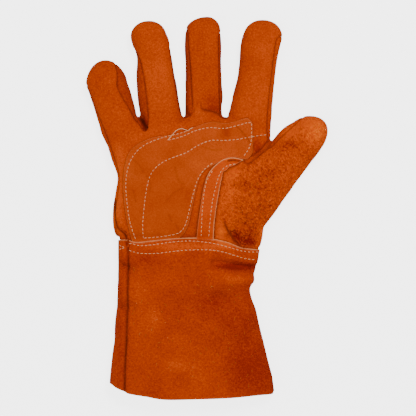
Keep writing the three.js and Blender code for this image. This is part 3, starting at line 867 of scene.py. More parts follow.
def nearest(points: Array, targets: Array) -> tuple[Array, Array]:
    """Find the nearest target of every point.

    Args:
        points: The points.
        targets: The points to look among.

    Returns:
        The targets' indices, and the distances to them.
    """
    tree = KDTree(len(targets))
    for index, target in enumerate(targets.tolist()):
        tree.insert(target, index)
    tree.balance()
    found = [tree.find(point) for point in points.tolist()]
    return np.array([row[1] for row in found]), np.array([row[2] for row in found])


def quad_normals(points: Array, quads: Array) -> Array:
    """Find the vertex normals of a mesh of quads.

    Args:
        points: Its points.
        quads: Its faces.

    Returns:
        A normal for each point.
    """
    across = np.cross(points[quads[:, 2]] - points[quads[:, 0]], points[quads[:, 3]] - points[quads[:, 1]])
    total = np.zeros_like(points)
    for corner in range(4):
        for axis in range(3):
            total[:, axis] += np.bincount(quads[:, corner], across[:, axis], len(points))
    return total / np.maximum(np.linalg.norm(total, axis=1), 1e-12)[:, None]


def eased(points: Array, quads: Array, rounds: int) -> Array:
    """Smooth a mesh of quads.

    Args:
        points: Its points.
        quads: Its faces.
        rounds: How often each point moves halfway to its neighbours' middle.

    Returns:
        The smoothed points.
    """
    edges = np.vstack([quads[:, [side, (side + 1) % 4]] for side in range(4)])
    edges = np.unique(np.sort(edges, axis=1), axis=0)
    count = np.bincount(edges.ravel(), minlength=len(points))[:, None]
    for _ in range(rounds):
        total = np.stack([
            np.bincount(edges[:, 0], points[edges[:, 1], axis], len(points))
            + np.bincount(edges[:, 1], points[edges[:, 0], axis], len(points))
            for axis in range(3)
        ], axis=-1)
        points = (points + total / count) / 2
    return points


class Mark(Enum):
    """Which side of a hollow body a face is on while hides are cut."""

    OUTER = "outer"
    INNER = "inner"
    CUT = "cut"

    def material(self) -> bpy.types.Material:
        """A material that only marks faces."""
        return bpy.data.materials.get(self.value) or bpy.data.materials.new(self.value)


class Keep(Enum):
    """Which part of a body a cutter leaves."""

    INSIDE = "INTERSECT"
    OUTSIDE = "DIFFERENCE"


class Form:
    """A closed surface of quads that walls, cuts and things laid on it are made from."""

    CORNER_EASE = 0.05

    def __init__(self, points: Array, quads: Array) -> None:
        """Keep the surface with its normals.

        Args:
            points: Its points.
            quads: Its faces.
        """
        self.points, self.quads = points, quads
        self.normals = quad_normals(points, quads)
        self.surface = BVHTree.FromPolygons(points.tolist(), quads.tolist())

    @classmethod
    def melted(cls, tubes: Iterable[Body], voxel: float) -> "Form":
        """Melt closed bodies into one surface.

        Args:
            tubes: Points and faces of each body.
            voxel: Size of the new surface's faces.

        Returns:
            The surface.
        """
        lump = make_object("lump", *joined(tubes))
        melt = lump.modifiers.new("melt", "REMESH")
        melt.mode = "VOXEL"
        melt.voxel_size = voxel
        mesh = settle(lump)
        corners = np.empty(len(mesh.loops), dtype=int)
        mesh.loops.foreach_get("vertex_index", corners)
        made = read_points(mesh), corners.reshape(-1, 4)
        bpy.data.meshes.remove(mesh)
        return cls(*made)

    def shaped(self, change: Callable[["Form"], Array]) -> "Form":
        """The same surface with its points moved."""
        return Form(change(self), self.quads)

    def facing(self, points: Array) -> Array:
        """Find which way the surface faces beside points of its wall.

        Args:
            points: Points on the wall's outer or inner side.

        Returns:
            A normal for each point.
        """
        base = np.vstack([self.points, self.points - WALL * self.normals])
        index, _ = nearest(points, base)
        return self.normals[index % len(self.points)]

    def shell(self, name: str) -> bpy.types.Object:
        """Make a hollow body one wall thick.

        Args:
            name: Its name.

        Returns:
            The body, its outer and inner faces marked apart.
        """
        inner = self.points - WALL * self.normals
        faces = np.vstack([self.quads, self.quads[:, ::-1] + len(self.points)])
        body = make_object(name, np.vstack([self.points, inner]), faces)
        for mark in (Mark.OUTER, Mark.INNER):
            body.data.materials.append(mark.material())
        marks = np.repeat([0, 1], len(self.quads))
        body.data.polygons.foreach_set("material_index", marks)
        return body

    def over(self, places: Array) -> tuple[Array, Array]:
        """Look down on the surface.

        Args:
            places: Places of the plan.

        Returns:
            The points met there, and their normals.
        """
        met, facing = [], []
        down = Vector((0.0, 0.0, -1.0))
        for wide, long in places[:, :2].tolist():
            hit, _, face, _ = self.surface.ray_cast(Vector((wide, long, SKY)), down)
            if hit is None:
                hit, _, face, _ = self.surface.find_nearest(Vector((wide, long, PALM_HEIGHT)))
            corners = self.quads[face]
            away = np.linalg.norm(self.points[corners] - np.array(hit), axis=1)
            weights = 1.0 / (away + self.CORNER_EASE)
            normal = (self.normals[corners] * weights[:, None]).sum(axis=0)
            met.append(tuple(hit))
            facing.append(normal / np.linalg.norm(normal))
        return np.array(met), np.array(facing)


def prism(outline: Array, low: float, high: float = SKY) -> bpy.types.Object:
    """An upright cutter.

    Args:
        outline: Its closed outline in plan.
        low: Level of its foot.
        high: Level of its top.

    Returns:
        The cutter.
    """
    if turning(outline) < 0:
        outline = outline[::-1]
    count = len(outline)
    points = np.vstack([
        np.column_stack([outline, np.full(count, level)]) for level in (low, high)
    ])
    faces = [(side, (side + 1) % count, count + (side + 1) % count, count + side) for side in range(count)]
    faces += [tuple(range(count))[::-1], tuple(range(count, 2 * count))]
    cutter = make_object("cutter", points, faces)
    cutter.data.materials.append(Mark.CUT.material())
    return cutter


def carved(mesh: bpy.types.Mesh, outline: Array, low: float, keep: Keep) -> bpy.types.Mesh:
    """Cut a hollow body with a prism.

    Args:
        mesh: The body's mesh, which stays as it is.
        outline: The prism's outline.
        low: The prism's foot.
        keep: Which part stays.

    Returns:
        The new mesh.
    """
    body = bpy.data.objects.new("body", mesh.copy())
    bpy.context.scene.collection.objects.link(body)
    cutter = prism(outline, low)
    cut = body.modifiers.new("cut", "BOOLEAN")
    cut.object = cutter
    cut.operation = keep.value
    cut.solver = "MANIFOLD"
    cut.material_mode = "TRANSFER"
    made = settle(body)
    bpy.data.objects.remove(cutter, do_unlink=True)
    return made


def cut_points(mesh: bpy.types.Mesh) -> Array:
    """Find the faces that a cutter left.

    Args:
        mesh: The cut mesh.

    Returns:
        The points of those faces.
    """
    marks = np.empty(len(mesh.polygons), dtype=int)
    mesh.polygons.foreach_get("material_index", marks)
    names = [material.name if material else "" for material in mesh.materials]
    if Mark.CUT.value not in names:
        return np.empty((0, 3))
    chosen = marks == names.index(Mark.CUT.value)
    starts, totals = np.empty(len(marks), dtype=int), np.empty(len(marks), dtype=int)
    mesh.polygons.foreach_get("loop_start", starts)
    mesh.polygons.foreach_get("loop_total", totals)
    corners = np.empty(len(mesh.loops), dtype=int)
    mesh.loops.foreach_get("vertex_index", corners)
    owner = np.repeat(chosen, totals)
    return read_points(mesh)[np.unique(corners[owner])]


def finish_piece(
    name: str, mesh: bpy.types.Mesh, material: bpy.types.Material, nodes: Sequence[str],
) -> bpy.types.Object:
    """Put a mesh in its place in the shared frame, and hide the solids that it stands for.

    Args:
        name: The piece's name.
        mesh: Its mesh, in millimetres from the wrist's middle.
        material: Its finish.
        nodes: The solids that it replaces.

    Returns:
        The piece.
    """
    shift = np.array([WRIST_PLACE[0], WRIST_PLACE[1], 0.0])
    # The tone mask holds the leather's own clouds together with painted shade and painted highlights.
    write_mask(mesh, "tone_and_light", tone_and_light_at(read_points(mesh)))
    if "pile" not in mesh.attributes:
        write_mask(mesh, "pile", np.zeros(len(mesh.vertices)))
    write_points(mesh, (read_points(mesh) + shift) * MM)
    mesh.materials.clear()
    mesh.materials.append(material)
    mesh.polygons.foreach_set("material_index", np.zeros(len(mesh.polygons), dtype=int))
    mesh.name = name
    mesh.shade_smooth()
    mesh.set_sharp_from_angle(angle=math.radians(SHARP_TURN))
    piece = bpy.data.objects.new(name, mesh)
    bpy.context.scene.collection.objects.link(piece)
    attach(piece, "root")
    if nodes:
        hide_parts(*nodes)
    LOG.info("%s: %d vertices", name, len(mesh.vertices))
    return piece


SHARP_TURN = 50.0
"""Edges that turn by more than this many degrees stay crisp."""

FLOOR_GAP = 0.05
"""How close to the floor a hide's edge may sink."""


def above_floor(moved: Array, points: Array) -> Array:
    """Keep moved points from sinking into the floor, or below their old level near it."""
    moved[:, 2] = np.maximum(moved[:, 2], np.minimum(points[:, 2], FLOOR_GAP))
    return moved


FRONT_CROWN, BACK_CROWN, NO_CROWN = 0.4, 0.3, 0.0
"""How far the hides swell beside their seams, in millimetres."""

# Outlines, seams and rows of stitches as places on the picture, looked at from above.
PALM_FRONT = (
    (121, 262), (119.5, 240), (115.5, 231), (114.8, 212), (117.2, 195), (118.5, 176), (114.5, 160),
    (108, 141), (102, 125), (97, 113), (92, 99), (87.5, 87), (83, 80), (82, 68), (92, 55), (106, 55),
    (114.5, 62), (117, 70), (118, 77), (117.6, 85), (119, 91), (124, 100), (131, 111), (135.5, 119.5),
    (141.5, 127.5), (145.5, 131), (147.6, 124), (148, 114), (147, 104), (146, 95), (144.7, 85),
    (143, 75), (141, 66), (138, 56), (133, 47), (127, 42), (125, 32), (130, 22), (143, 14), (160, 16),
    (171, 30), (169.5, 48), (171.5, 60), (173.5, 74), (176.4, 90), (178.5, 103), (180.5, 112),
    (184, 116.5), (188, 116), (192.5, 113), (195, 107.5), (199.2, 103), (201, 108.6), (205, 110.8),
    (212, 112), (218.3, 114), (222, 117.5), (226, 118), (229, 112), (233, 95), (236.5, 76), (239, 60),
    (240.5, 43), (242.5, 30), (252, 14), (274, 13), (284, 24), (284, 35), (279, 37.5), (276, 43),
    (273.5, 60), (271.7, 77), (269.7, 93), (268.3, 108), (267.6, 122), (267.6, 132), (268.2, 140),
    (264.5, 144.8), (259.4, 150), (252.6, 155), (248, 157), (243.4, 160), (236, 163), (227, 165),
    (219, 170), (213.5, 179), (210.5, 193), (206.5, 215), (205, 238), (205, 262),
)
MIDDLE_FRONT = (
    (193, 118), (192.5, 108), (191.7, 95), (190.6, 77), (189.2, 60), (188, 45), (187, 30), (182, 24),
    (186, 13), (205, 8), (222, 14), (224, 28), (219, 36), (219.2, 60), (219.5, 84), (219.8, 100),
    (220, 113), (221.5, 119), (212, 122), (200, 120),
)
THUMB_FRONT = (
    (205, 262), (204, 238), (205.5, 215), (209.5, 193), (212.5, 179), (218, 170), (226, 164), (235, 162),
    (243, 161), (246.4, 163.6), (252, 161.3), (259.4, 155), (265, 150.6), (271, 146.7), (280, 137.5),
    (290, 128.5), (298, 121.5), (303, 117), (310, 110), (330, 108), (340, 120), (336, 140), (318, 170),
    (290, 210), (276, 240), (272, 262),
)
FOURCHETTES = {
    "fourchette_little_ring": (
        (112, 64), (126, 62), (134, 50), (141, 54), (158, 60), (158, 90), (158, 124), (144, 134),
        (124, 130), (112, 100),
    ),
    "fourchette_ring_middle": (
        (157, 46), (160, 80), (168, 124), (187, 128), (204, 124), (204, 80), (204, 30), (180, 30),
        (172, 46),
    ),
    "fourchette_middle_index": (
        (206, 30), (206, 80), (206, 124), (224, 128), (246, 124), (252, 80), (256, 40), (240, 36),
        (230, 30),
    ),
}
THUMB_BACK = (
    (238, 158), (246, 158), (252, 154), (259, 149), (265, 144), (269, 141), (275, 130), (300, 100),
    (345, 100), (345, 262), (300, 262), (262, 245), (263, 233), (266.5, 212), (269, 185), (268, 166),
    (262, 160), (250, 166), (240, 166),
)
CUFF_SEAM = (
    (127.3, 230), (127.3, 236), (127.8, 258), (127.5, 286), (126.8, 314), (126, 342), (124.7, 370),
    (124.5, 402), (124.5, 410),
)
CUFF_LAP = (
    (95, 240), (110, 240), (118, 240), (127.5, 239.6), (136.6, 242), (154, 240.3), (175, 238.2),
    (196, 237.5), (214.5, 239), (228.6, 242.4), (241, 247.3), (251, 248.7), (259.4, 249.4), (275, 250),
    (290, 250),
)
CUFF_HEM = (
    (300, 390), (290, 390), (274.4, 391), (272, 393.5), (257, 394.4), (231, 396.7), (196, 398),
    (165, 398.4), (147, 395.6), (130, 393), (124.7, 390.7), (116, 387), (109.7, 383), (95, 378),
    (85, 374),
)
PATCH_EDGE = (
    (133, 244), (127.5, 222), (124.3, 200), (123.7, 178), (126, 162), (131, 151), (140, 143.5),
    (153, 138), (166, 136), (180, 133.5), (190, 129.5), (200, 125.5), (212, 122.5), (225, 124),
    (233.4, 122.4), (240, 120), (246.6, 118.2), (249.4, 120), (252.2, 122.8), (252.6, 128),
    (252.5, 140), (252.3, 153), (247, 160),
)
PATCH_FOOT = (
    (243, 159.8), (235, 158), (227, 158.8), (218, 162.8), (213, 165.8), (206, 169.6), (202.3, 174),
    (199, 180), (195.5, 193), (191.5, 212), (188, 226), (183, 234.5), (176, 239.5), (158, 241.5),
    (145, 243),
)
STRAP_LEFT = (
    (196.2, 239.6), (196.5, 236.4), (198.4, 220), (200.7, 205), (203.6, 188), (207.9, 175), (214.3, 166.4),
    (222.9, 160), (232.9, 157.9), (243.5, 160.2),
)
STRAP_RIGHT = (
    (238, 163.6), (234.3, 165.6), (231, 166.8), (228.8, 167.5), (226.4, 170.5), (223.8, 171.6),
    (222.9, 173), (222.2, 177), (220.5, 184.6), (217.9, 198), (215.7, 212), (214.3, 225), (213.6, 239.6),
)
STITCH_ROWS = {
    "patch_outer": (
        (136, 239.6), (130, 221), (126.6, 195), (126.4, 179), (129, 166), (134.5, 155), (144, 146),
        (157, 140), (167, 137), (178, 134.3), (187, 131.5),
    ),
    "patch_upper": (
        (168, 140.7), (182, 137), (196, 131), (210, 128), (224, 129), (238, 125.7), (247, 123),
        (251, 122.8), (251.3, 128), (251.2, 139), (248.8, 148.6), (243.4, 156.5),
    ),
    "patch_inner": (
        (143.7, 239), (143, 223.5), (146, 195), (150, 177), (157, 167), (168, 160), (186.5, 153),
        (196, 147), (210, 141), (224, 141), (238, 139.7), (252, 137), (267, 134.8),
    ),
    "patch_foot": (
        (143.7, 238), (157, 237), (171, 235), (179.4, 232.6), (185, 226), (189, 212), (193.5, 193),
        (198, 179), (205, 169), (213, 163),
    ),
    "strap_left": ((201.2, 237), (202, 216), (203.4, 199), (205.4, 186), (208.3, 177.5), (213, 170.6)),
    "strap_right": (
        (208.7, 237), (210.6, 215), (213, 198), (216, 186), (218.4, 177), (221.6, 170.6), (226, 166.6),
        (231, 164.9), (236, 164.4),
    ),
    "cuff_upper": (
        (128.5, 243.4), (133, 243.8), (140, 245.6), (154, 244.5), (171, 242), (189, 240.8), (203, 241.7),
        (217, 244), (231, 247.8), (245, 251.5), (259, 252),
    ),
    "cuff_lower": (
        (128.5, 250), (134.5, 252), (143, 253.4), (157, 253.2), (171, 251.5), (189, 249.8), (210, 249.8),
        (224, 252), (238, 256.4), (245, 258.5), (255, 259.7),
    ),
    "cuff_side_upper": ((119, 245.2), (124.4, 247.1)),
    "cuff_side_lower": ((124.4, 247.7), (119, 249.7)),
}
PATCH_CREASE = ((236, 127), (241.4, 132.3), (245.9, 137.7), (249.5, 143))
PATCH_VEINS = (
    ((175.4, 167), (176.7, 174.3), (179.4, 181.4), (184.3, 184.1)),
    ((183.8, 187.7), (175.4, 192), (170, 197.5), (166.4, 202)),
    ((169, 214.5), (170.4, 217), (171.8, 221)), ((134.3, 160), (139.6, 165.4), (144, 172)),
    ((133.4, 190.4), (135, 195), (136.5, 202)), ((146.8, 176), (151, 184), (150, 192)),
    ((223, 126.5), (224.6, 131), (227.1, 135.9)), ((205, 148), (214, 150.5), (221, 150)),
    ((176, 224), (178.5, 229), (178, 234)),
)
"""Fine lines in the patch's smooth leather, on the picture."""
STRAP_SHADOW = ((228, 161.2), (233, 160.6), (238, 161.4), (243, 162.6))
# Painted shadow on the strap's end, below the patch's raised edge.
"""Where the strap's end darkens below the patch."""
FLANK_GAP = 0.04
"""Between the thumb's back and the hand's, in millimetres: close, so that no light shows through."""
CROTCH_SHADES = (
    (((140.8, 118.5), (143.6, 122.5), (146.4, 128)), 1.7, 2.0),
    (((203, 110.4), (211, 112), (219, 114.2)), 1.4, 0.6),
    (((186.6, 107), (187.6, 112.5), (190.2, 115.6)), 1.3, 0.9),
    (((249, 163.2), (256, 157.6), (263, 152), (270.5, 146.4)), 1.1, 0.9),
)
# Painted shade between the fingers and beside the thumb: line on the picture, reach and depth.
"""Dark places between the fingers and beside the thumb: line on the picture, reach and depth."""
WRIST_DITCH = (
    (115.2, 200), (114.9, 212), (116, 221), (118.6, 228.4), (122.6, 231.8), (125.4, 234.6),
    (126.4, 238), (126.8, 244),
)
# The sharp fold at the wrist on the little finger's side, along which shade is painted.
"""The sharp fold at the wrist on the little finger's side."""
MIDDLE_PEAK = ((190.5, 115), (193.5, 111), (196, 106.5), (199, 103), (200.5, 107.5))
# The palm's small peak below the middle finger, where the painted seam shade is faded out.
"""The palm's small peak below the middle finger, where the seam hardly darkens."""
PEAK_FADE = 0.9
PEAK_REACH = 2.4

PATCH_SHADE = (0.9, 0.6)
STRAP_LEFT_SHADE = (1.7, 1.1)
STRAP_RIGHT_SHADE = (1.5, 1.2)
LAP_SHADE = (1.6, 0.9)
CREASE_SHADE = (1.0, 0.7)
CUFF_CREASE_SHADE = (0.9, 0.7)
FLAP_SHADE = (1.3, 1.0)
DITCH_SHADE = (1.0, 1.5)
PATCH_CREASE_SHADE = (0.8, 0.7)
VEIN_SHADE = (0.8, 0.34)
STRAP_END_SHADE = (0.9, 1.5)
# Reach in millimetres and depth of the painted shade along each kind of line, and of the veins' own darker
# colour.
"""Reach in millimetres and depth of the shade along each kind of line."""

STRAP_ARCH = 55.0
"""How far above the wrist's middle the strap's pale arch begins, in millimetres."""
NAP_AREA = (
    (222, 185), (231, 176), (246, 168), (262, 162), (286, 146), (306, 131), (322, 128), (324, 140),
    (300, 176), (276, 212), (266, 240), (250, 246), (238, 240), (228, 222), (221, 205),
)
LOOSE_THREAD = (
    (168, 140.7), (172, 136), (176.6, 131), (182, 129.2), (187.9, 131.1), (190.5, 129.2), (192.6, 128.2),
)
THREAD_RADIUS = 0.38
THREAD_LIFT = 0.35
THREAD_STEP = 0.8
SIDE_PITCH = 2.7
PATCH_PALE = 0.22
"""How pale the patch's cut edge is."""
PATCH_TOP = 1.5
STRAP_TOP = 2.1
"""How far above the palm's leather the stitches of patch and strap lie, in millimetres."""


@dataclass(frozen=True)
class Roll:
    """How the edges of a hide turn in at its seams, and how dark the painted shade along them is."""

    depth: float = 0.85
    reach: float = 1.2
    crown_reach: float = 5.0
    pucker: float = 0.4
    pucker_size: float = 4.5
    under_share: float = 0.35
    tilt: float = 0.1
    tilt_span: float = 0.5
    shade: float = 0.75
    shade_reach: float = 0.9


@dataclass
class Hides:
    """The hand's hides, cut from one hollow form."""

    form: Form
    shades: Shades
    roll: Roll = Roll()
    grown: float = SEAM_GAP
    made: dict[str, bpy.types.Mesh] = field(default_factory=dict)

    def cut(self) -> None:
        """Cut every hide out of the shell."""
        shell = settle(self.form.shell("shell"))
        palm, middle, thumb = (
            drawn(places, 3, closed=True) for places in (PALM_FRONT, MIDDLE_FRONT, THUMB_FRONT)
        )
        low = SEAM_HEIGHT
        self.made["palm_leather"] = carved(shell, palm, low, Keep.INSIDE)
        wide = spread(palm, self.grown)
        for name, outline in (("middle_finger_front", middle), ("thumb_front", thumb)):
            front = carved(shell, outline, low, Keep.INSIDE)
            self.made[name] = carved(front, wide, low - 1, Keep.OUTSIDE)
        rest = shell
        for outline in (palm, middle, thumb):
            rest = carved(rest, spread(outline, self.grown), low - self.grown, Keep.OUTSIDE)
        back = rest
        for name, places in FOURCHETTES.items():
            outline = plan_line(places)
            self.made[name] = carved(rest, outline, FOURCHETTE_FOOT, Keep.INSIDE)
            back = carved(back, spread(outline, self.grown), FOURCHETTE_FOOT - self.grown, Keep.OUTSIDE)
        flank = plan_line(THUMB_BACK)
        self.made["thumb_back"] = carved(rest, flank, -SKY, Keep.INSIDE)
        self.made["back_leather"] = carved(back, spread(flank, FLANK_GAP), -SKY, Keep.OUTSIDE)

    def dressed(self, name: str, crown: float) -> bpy.types.Mesh:
        """Turn a hide's edges in at its seams and round it up beside them.

        Args:
            name: The hide.
            crown: How far it swells beside a seam.

        Returns:
            Its mesh, with painted shade along its seams, creases and crevices kept as a mask.
        """
        mesh = self.made[name]
        points = read_points(mesh)
        _, away = nearest(points, cut_points(mesh))
        facing = self.form.facing(points)
        roll = self.roll
        pucker = 1 + roll.pucker * GRAIN.read(points, roll.pucker_size)
        upward = smoothstep((facing[:, 2] - roll.tilt) / roll.tilt_span)
        open_side = roll.under_share + (1 - roll.under_share) * upward
        near = falloff(away, roll.reach)
        sink = roll.depth * pucker * open_side * near
        swell = crown * (1 - near) * falloff(away, roll.crown_reach)
        write_points(mesh, above_floor(points + (swell - sink)[:, None] * facing, points))
        # Painted shade: the seam mask darkens the hide along its seams and along the creases and crevices
        # of the shade lines.
        shade = np.where(points[:, 2] > SEAM_HEIGHT, crevices(points, self.shades), 0.0)
        faint = 1 - PEAK_FADE * falloff(line_distance(points, plan_line(MIDDLE_PEAK)), PEAK_REACH)
        seam = roll.shade * faint * falloff(away, roll.shade_reach)
        write_mask(mesh, "seam", np.maximum(seam, shade))
        write_mask(mesh, "edge", np.zeros(len(points)))
        return mesh


def inside(points: Array, outline: Array) -> Array:
    """Tell which points lie inside a closed outline.

    Args:
        points: Points, of which the plan is used.
        outline: The outline.

    Returns:
        True or false for each point.
    """
    result = np.zeros(len(points), dtype=bool)
    after = np.roll(outline, -1, axis=0)
    for begin, end in zip(outline, after):
        spans = (begin[1] > points[:, 1]) != (end[1] > points[:, 1])
        rise = end[1] - begin[1]
        cross = begin[0] + (points[:, 1] - begin[1]) * (end[0] - begin[0]) / (rise if rise else 1e-9)
        result ^= spans & (points[:, 0] < cross)
    return result


@dataclass
class Sheet:
    """A flat piece of leather sewn on a form: its outline, thickness, grid, raised raw edge, and the
    painted shade and veins along its lines.
    """

    outline: Array
    thickness: float
    shades: Shades
    grid: float = 0.9
    row_share: float = 0.87
    gap: float = 0.12
    round: float = 0.55
    foot_lift: float = 0.15
    pale_reach: float = 0.55
    rim: tuple[float, ...] = (0.0, 0.3, 0.65, 1.1, 1.7)

    def __post_init__(self) -> None:
        """Turn the outline so that it runs anticlockwise."""
        if turning(self.outline) < 0:
            self.outline = self.outline[::-1]

    def net(self) -> tuple[Array, Array, int]:
        """Fill the outline with points and triangles.

        Returns:
            The points, the triangles, and how many points lie on the outline.
        """
        rings = [even_line(ringed(spread(self.outline, -by)), self.grid) for by in self.rim]
        rings = [rings[0]] + [ring[inside(ring, self.outline)] for ring in rings[1:]]
        low, high = self.outline.min(axis=0), self.outline.max(axis=0)
        across = np.arange(low[0], high[0], self.grid)
        along = np.arange(low[1], high[1], self.grid * self.row_share)
        lattice = np.stack(np.meshgrid(across, along), axis=-1)
        lattice[1::2, :, 0] += self.grid / 2
        places = lattice.reshape(-1, 2)
        places = places[inside(places, self.outline)]
        away = line_distance(places, ringed(self.outline))
        places = np.vstack(rings + [places[away > self.rim[-1] + self.grid / 2]])
        count = len(rings[0])
        edges = [(side, (side + 1) % count) for side in range(count)]
        vertices, _, faces, _, _, _ = delaunay_2d_cdt(
            [Vector(place) for place in places.tolist()], edges, [], 1, 1e-4,
        )
        if len(vertices) != len(places):
            LOG.info("net: %d places became %d", len(places), len(vertices))
        return np.array([tuple(vertex) for vertex in vertices]), np.array(faces), count

    def made(self, form: Form, fresh: Callable[[Array], Array]) -> bpy.types.Mesh:
        """Lay the sheet on a form.

        Args:
            form: What it lies on.
            fresh: How pale the cut edge is at places of the plan.

        Returns:
            Its mesh, with the raw edge and the painted shade along its shade lines kept as masks.
        """
        places, faces, count = self.net()
        away = line_distance(places, ringed(self.outline))
        met, facing = form.over(places)
        rounding = np.clip(1 - away / (self.round * 2), 0, 1)
        height = self.thickness - self.round * (1 - np.sqrt(np.clip(1 - rounding ** 2, 0, 1)))
        top = met + facing * (self.gap + height)[:, None]
        low = met + facing * (self.gap + self.foot_lift * rounding)[:, None]
        size = len(places)
        walls: Faces = [tuple(face) for face in faces.tolist()]
        walls += [tuple(pick + size for pick in face[::-1]) for face in faces.tolist()]
        for side in range(count):
            follow = (side + 1) % count
            walls.append((side, side + size, follow + size, follow))
        mesh = settle(make_object("sheet", np.vstack([top, low]), walls))
        # Painted shade along the sheet's shade lines; on the patch these also hold its own darker veins.
        dark = crevices(places, self.shades)
        pale = falloff(away, self.pale_reach) * fresh(places)
        write_mask(mesh, "edge", np.concatenate([pale, pale]))
        write_mask(mesh, "seam", np.concatenate([dark, dark]))
        return mesh


@dataclass
class Cuff:
    """The cuff: front and back, sewn along their sides, its lap lying over the hand's neck."""

    seam: Array
    lap: Array
    hem: Array
    form: Form
    shades: Shades
    side_margin: float = 0.3
    sink: float = 1.8
    sink_reach: float = 1.7
    shade: float = 1.2
    shade_reach: float = 1.2
    raw_reach: float = 0.6
    raw_hem: float = 0.3
    far: float = 160.0
    made: dict[str, bpy.types.Mesh] = field(default_factory=dict)

    def cut(self) -> None:
        """Cut the two hides out of the cuff's shell."""
        shell = settle(self.form.shell("cuff"))
        band = np.vstack([self.lap, self.hem])
        shell = carved(shell, band, -SKY, Keep.INSIDE)
        far = np.array([[self.far, self.seam[-1, 1]], [self.far, self.seam[0, 1]]])
        front = np.vstack([self.seam, far])
        low = SEAM_HEIGHT
        self.made["cuff_front"] = carved(shell, front, low, Keep.INSIDE)
        self.made["cuff_back"] = carved(shell, spread(front, SEAM_GAP), low - SEAM_GAP, Keep.OUTSIDE)

    def dressed(self, name: str) -> bpy.types.Mesh:
        """Turn in the side seams and leave the lap and hem as raw edges.

        Args:
            name: The hide.

        Returns:
            Its mesh with masks for the painted shade at its seams and creases, and for its raw edge.
        """
        mesh = self.made[name]
        points = read_points(mesh)
        lap, hem = line_distance(points, self.lap), line_distance(points, self.hem)
        border = cut_points(mesh)
        raw = np.minimum(line_distance(border, self.lap), line_distance(border, self.hem))
        _, away = nearest(points, border[raw > self.side_margin])
        sink = self.sink * falloff(away, self.sink_reach)
        write_points(mesh, above_floor(points - sink[:, None] * self.form.facing(points), points))
        # Painted shade along the side seams and along the cuff's narrow creases.
        shade = np.where(points[:, 2] > SEAM_HEIGHT, crevices(points, self.shades), 0.0)
        write_mask(mesh, "seam", np.maximum(self.shade * falloff(away, self.shade_reach), shade))
        edge = falloff(lap, self.raw_reach) + self.raw_hem * falloff(hem, self.raw_reach)
        write_mask(mesh, "edge", edge)
        return mesh


@dataclass
class Stitching:
    """Rows of short stitches on the leather."""

    ALMOST = 0.99999

    pitch: float = 3.65
    length: float = 2.8
    radius: float = 0.35
    sides: int = 8
    rings: int = 7
    sag: float = 0.55
    sway: float = 9.0
    sizes: Point = (0.85, 1.08)
    sunk: float = 0.35
    uneven: float = 0.06
    seed: int = 11

    def stitch(self) -> Body:
        """Make one stitch along X.

        Returns:
            Its points and faces, bent down at the ends.
        """
        along = np.sin(np.linspace(-math.pi / 2, math.pi / 2, self.rings))[1:-1]
        width = np.sqrt(1 - along ** 4)
        angle = np.linspace(0, 2 * math.pi, self.sides, endpoint=False)
        rows = []
        for place, wide in zip(along, width):
            rows.append(np.stack([
                np.full(self.sides, place * self.length / 2), self.radius * wide * np.cos(angle),
                self.radius * wide * np.sin(angle) - self.sag * place ** 4,
            ], axis=-1))
        return loft(np.array(rows))

    def stops(self, row: Array) -> Array:
        """Divide a row into stitches.

        Args:
            row: A line of the plan.

        Returns:
            The places where its stitches begin and end.
        """
        line = smooth_line(row, 8)
        reach = float(np.hypot(*np.diff(line, axis=0).T).sum())
        count = max(1, round(reach / self.pitch))
        pitch = reach / count * self.ALMOST
        return np.vstack([even_line(line, pitch), line[-1:]])[:count + 1]

    def sewn(self, rows: Iterable[Array], form: Form) -> bpy.types.Mesh:
        """Sew rows on a form.

        Args:
            rows: Lines of the plan.
            form: The surface that they lie on.

        Returns:
            The mesh of all stitches.
        """
        shape, faces = self.stitch()
        chance = random.Random(self.seed)
        placed: list[Body] = []
        for row in rows:
            stops = self.stops(row)
            met, facing = form.over((stops[:-1] + stops[1:]) / 2)
            for begin, end, spot, up in zip(stops[:-1], stops[1:], met, facing):
                run = np.append(end - begin, 0.0)
                run = run - up * float(run @ up)
                run /= np.linalg.norm(run)
                turn = math.radians(chance.uniform(-self.sway, self.sway))
                aside = np.cross(up, run)
                run, aside = (
                    math.cos(turn) * run + math.sin(turn) * aside,
                    math.cos(turn) * aside - math.sin(turn) * run,
                )
                size = chance.uniform(*self.sizes)
                sink = self.radius * self.sunk + chance.uniform(-self.uneven, self.uneven)
                along, across, level = shape[:, :1] * size, shape[:, 1:2], shape[:, 2:] + sink
                placed.append((spot + along * run + across * aside + level * up, faces))
        return settle(make_object("stitches", *joined(placed)))


def tube_along(line: Array, radius: float, sides: int = 8) -> Body:
    """Make a closed tube.

    Args:
        line: Its middle line in space.
        radius: Its radius.
        sides: Points on a ring.

    Returns:
        Its points and faces.
    """
    run = np.gradient(line, axis=0)
    run /= np.linalg.norm(run, axis=1)[:, None]
    up = np.array([0.0, 0.0, 1.0])
    aside = np.cross(run, up)
    aside /= np.maximum(np.linalg.norm(aside, axis=1), 1e-9)[:, None]
    over = np.cross(aside, run)
    angle = np.linspace(0, 2 * math.pi, sides, endpoint=False)
    rings = (
        line[:, None] + radius * np.cos(angle)[None, :, None] * aside[:, None]
        + radius * np.sin(angle)[None, :, None] * over[:, None]
    )
    return loft(rings)


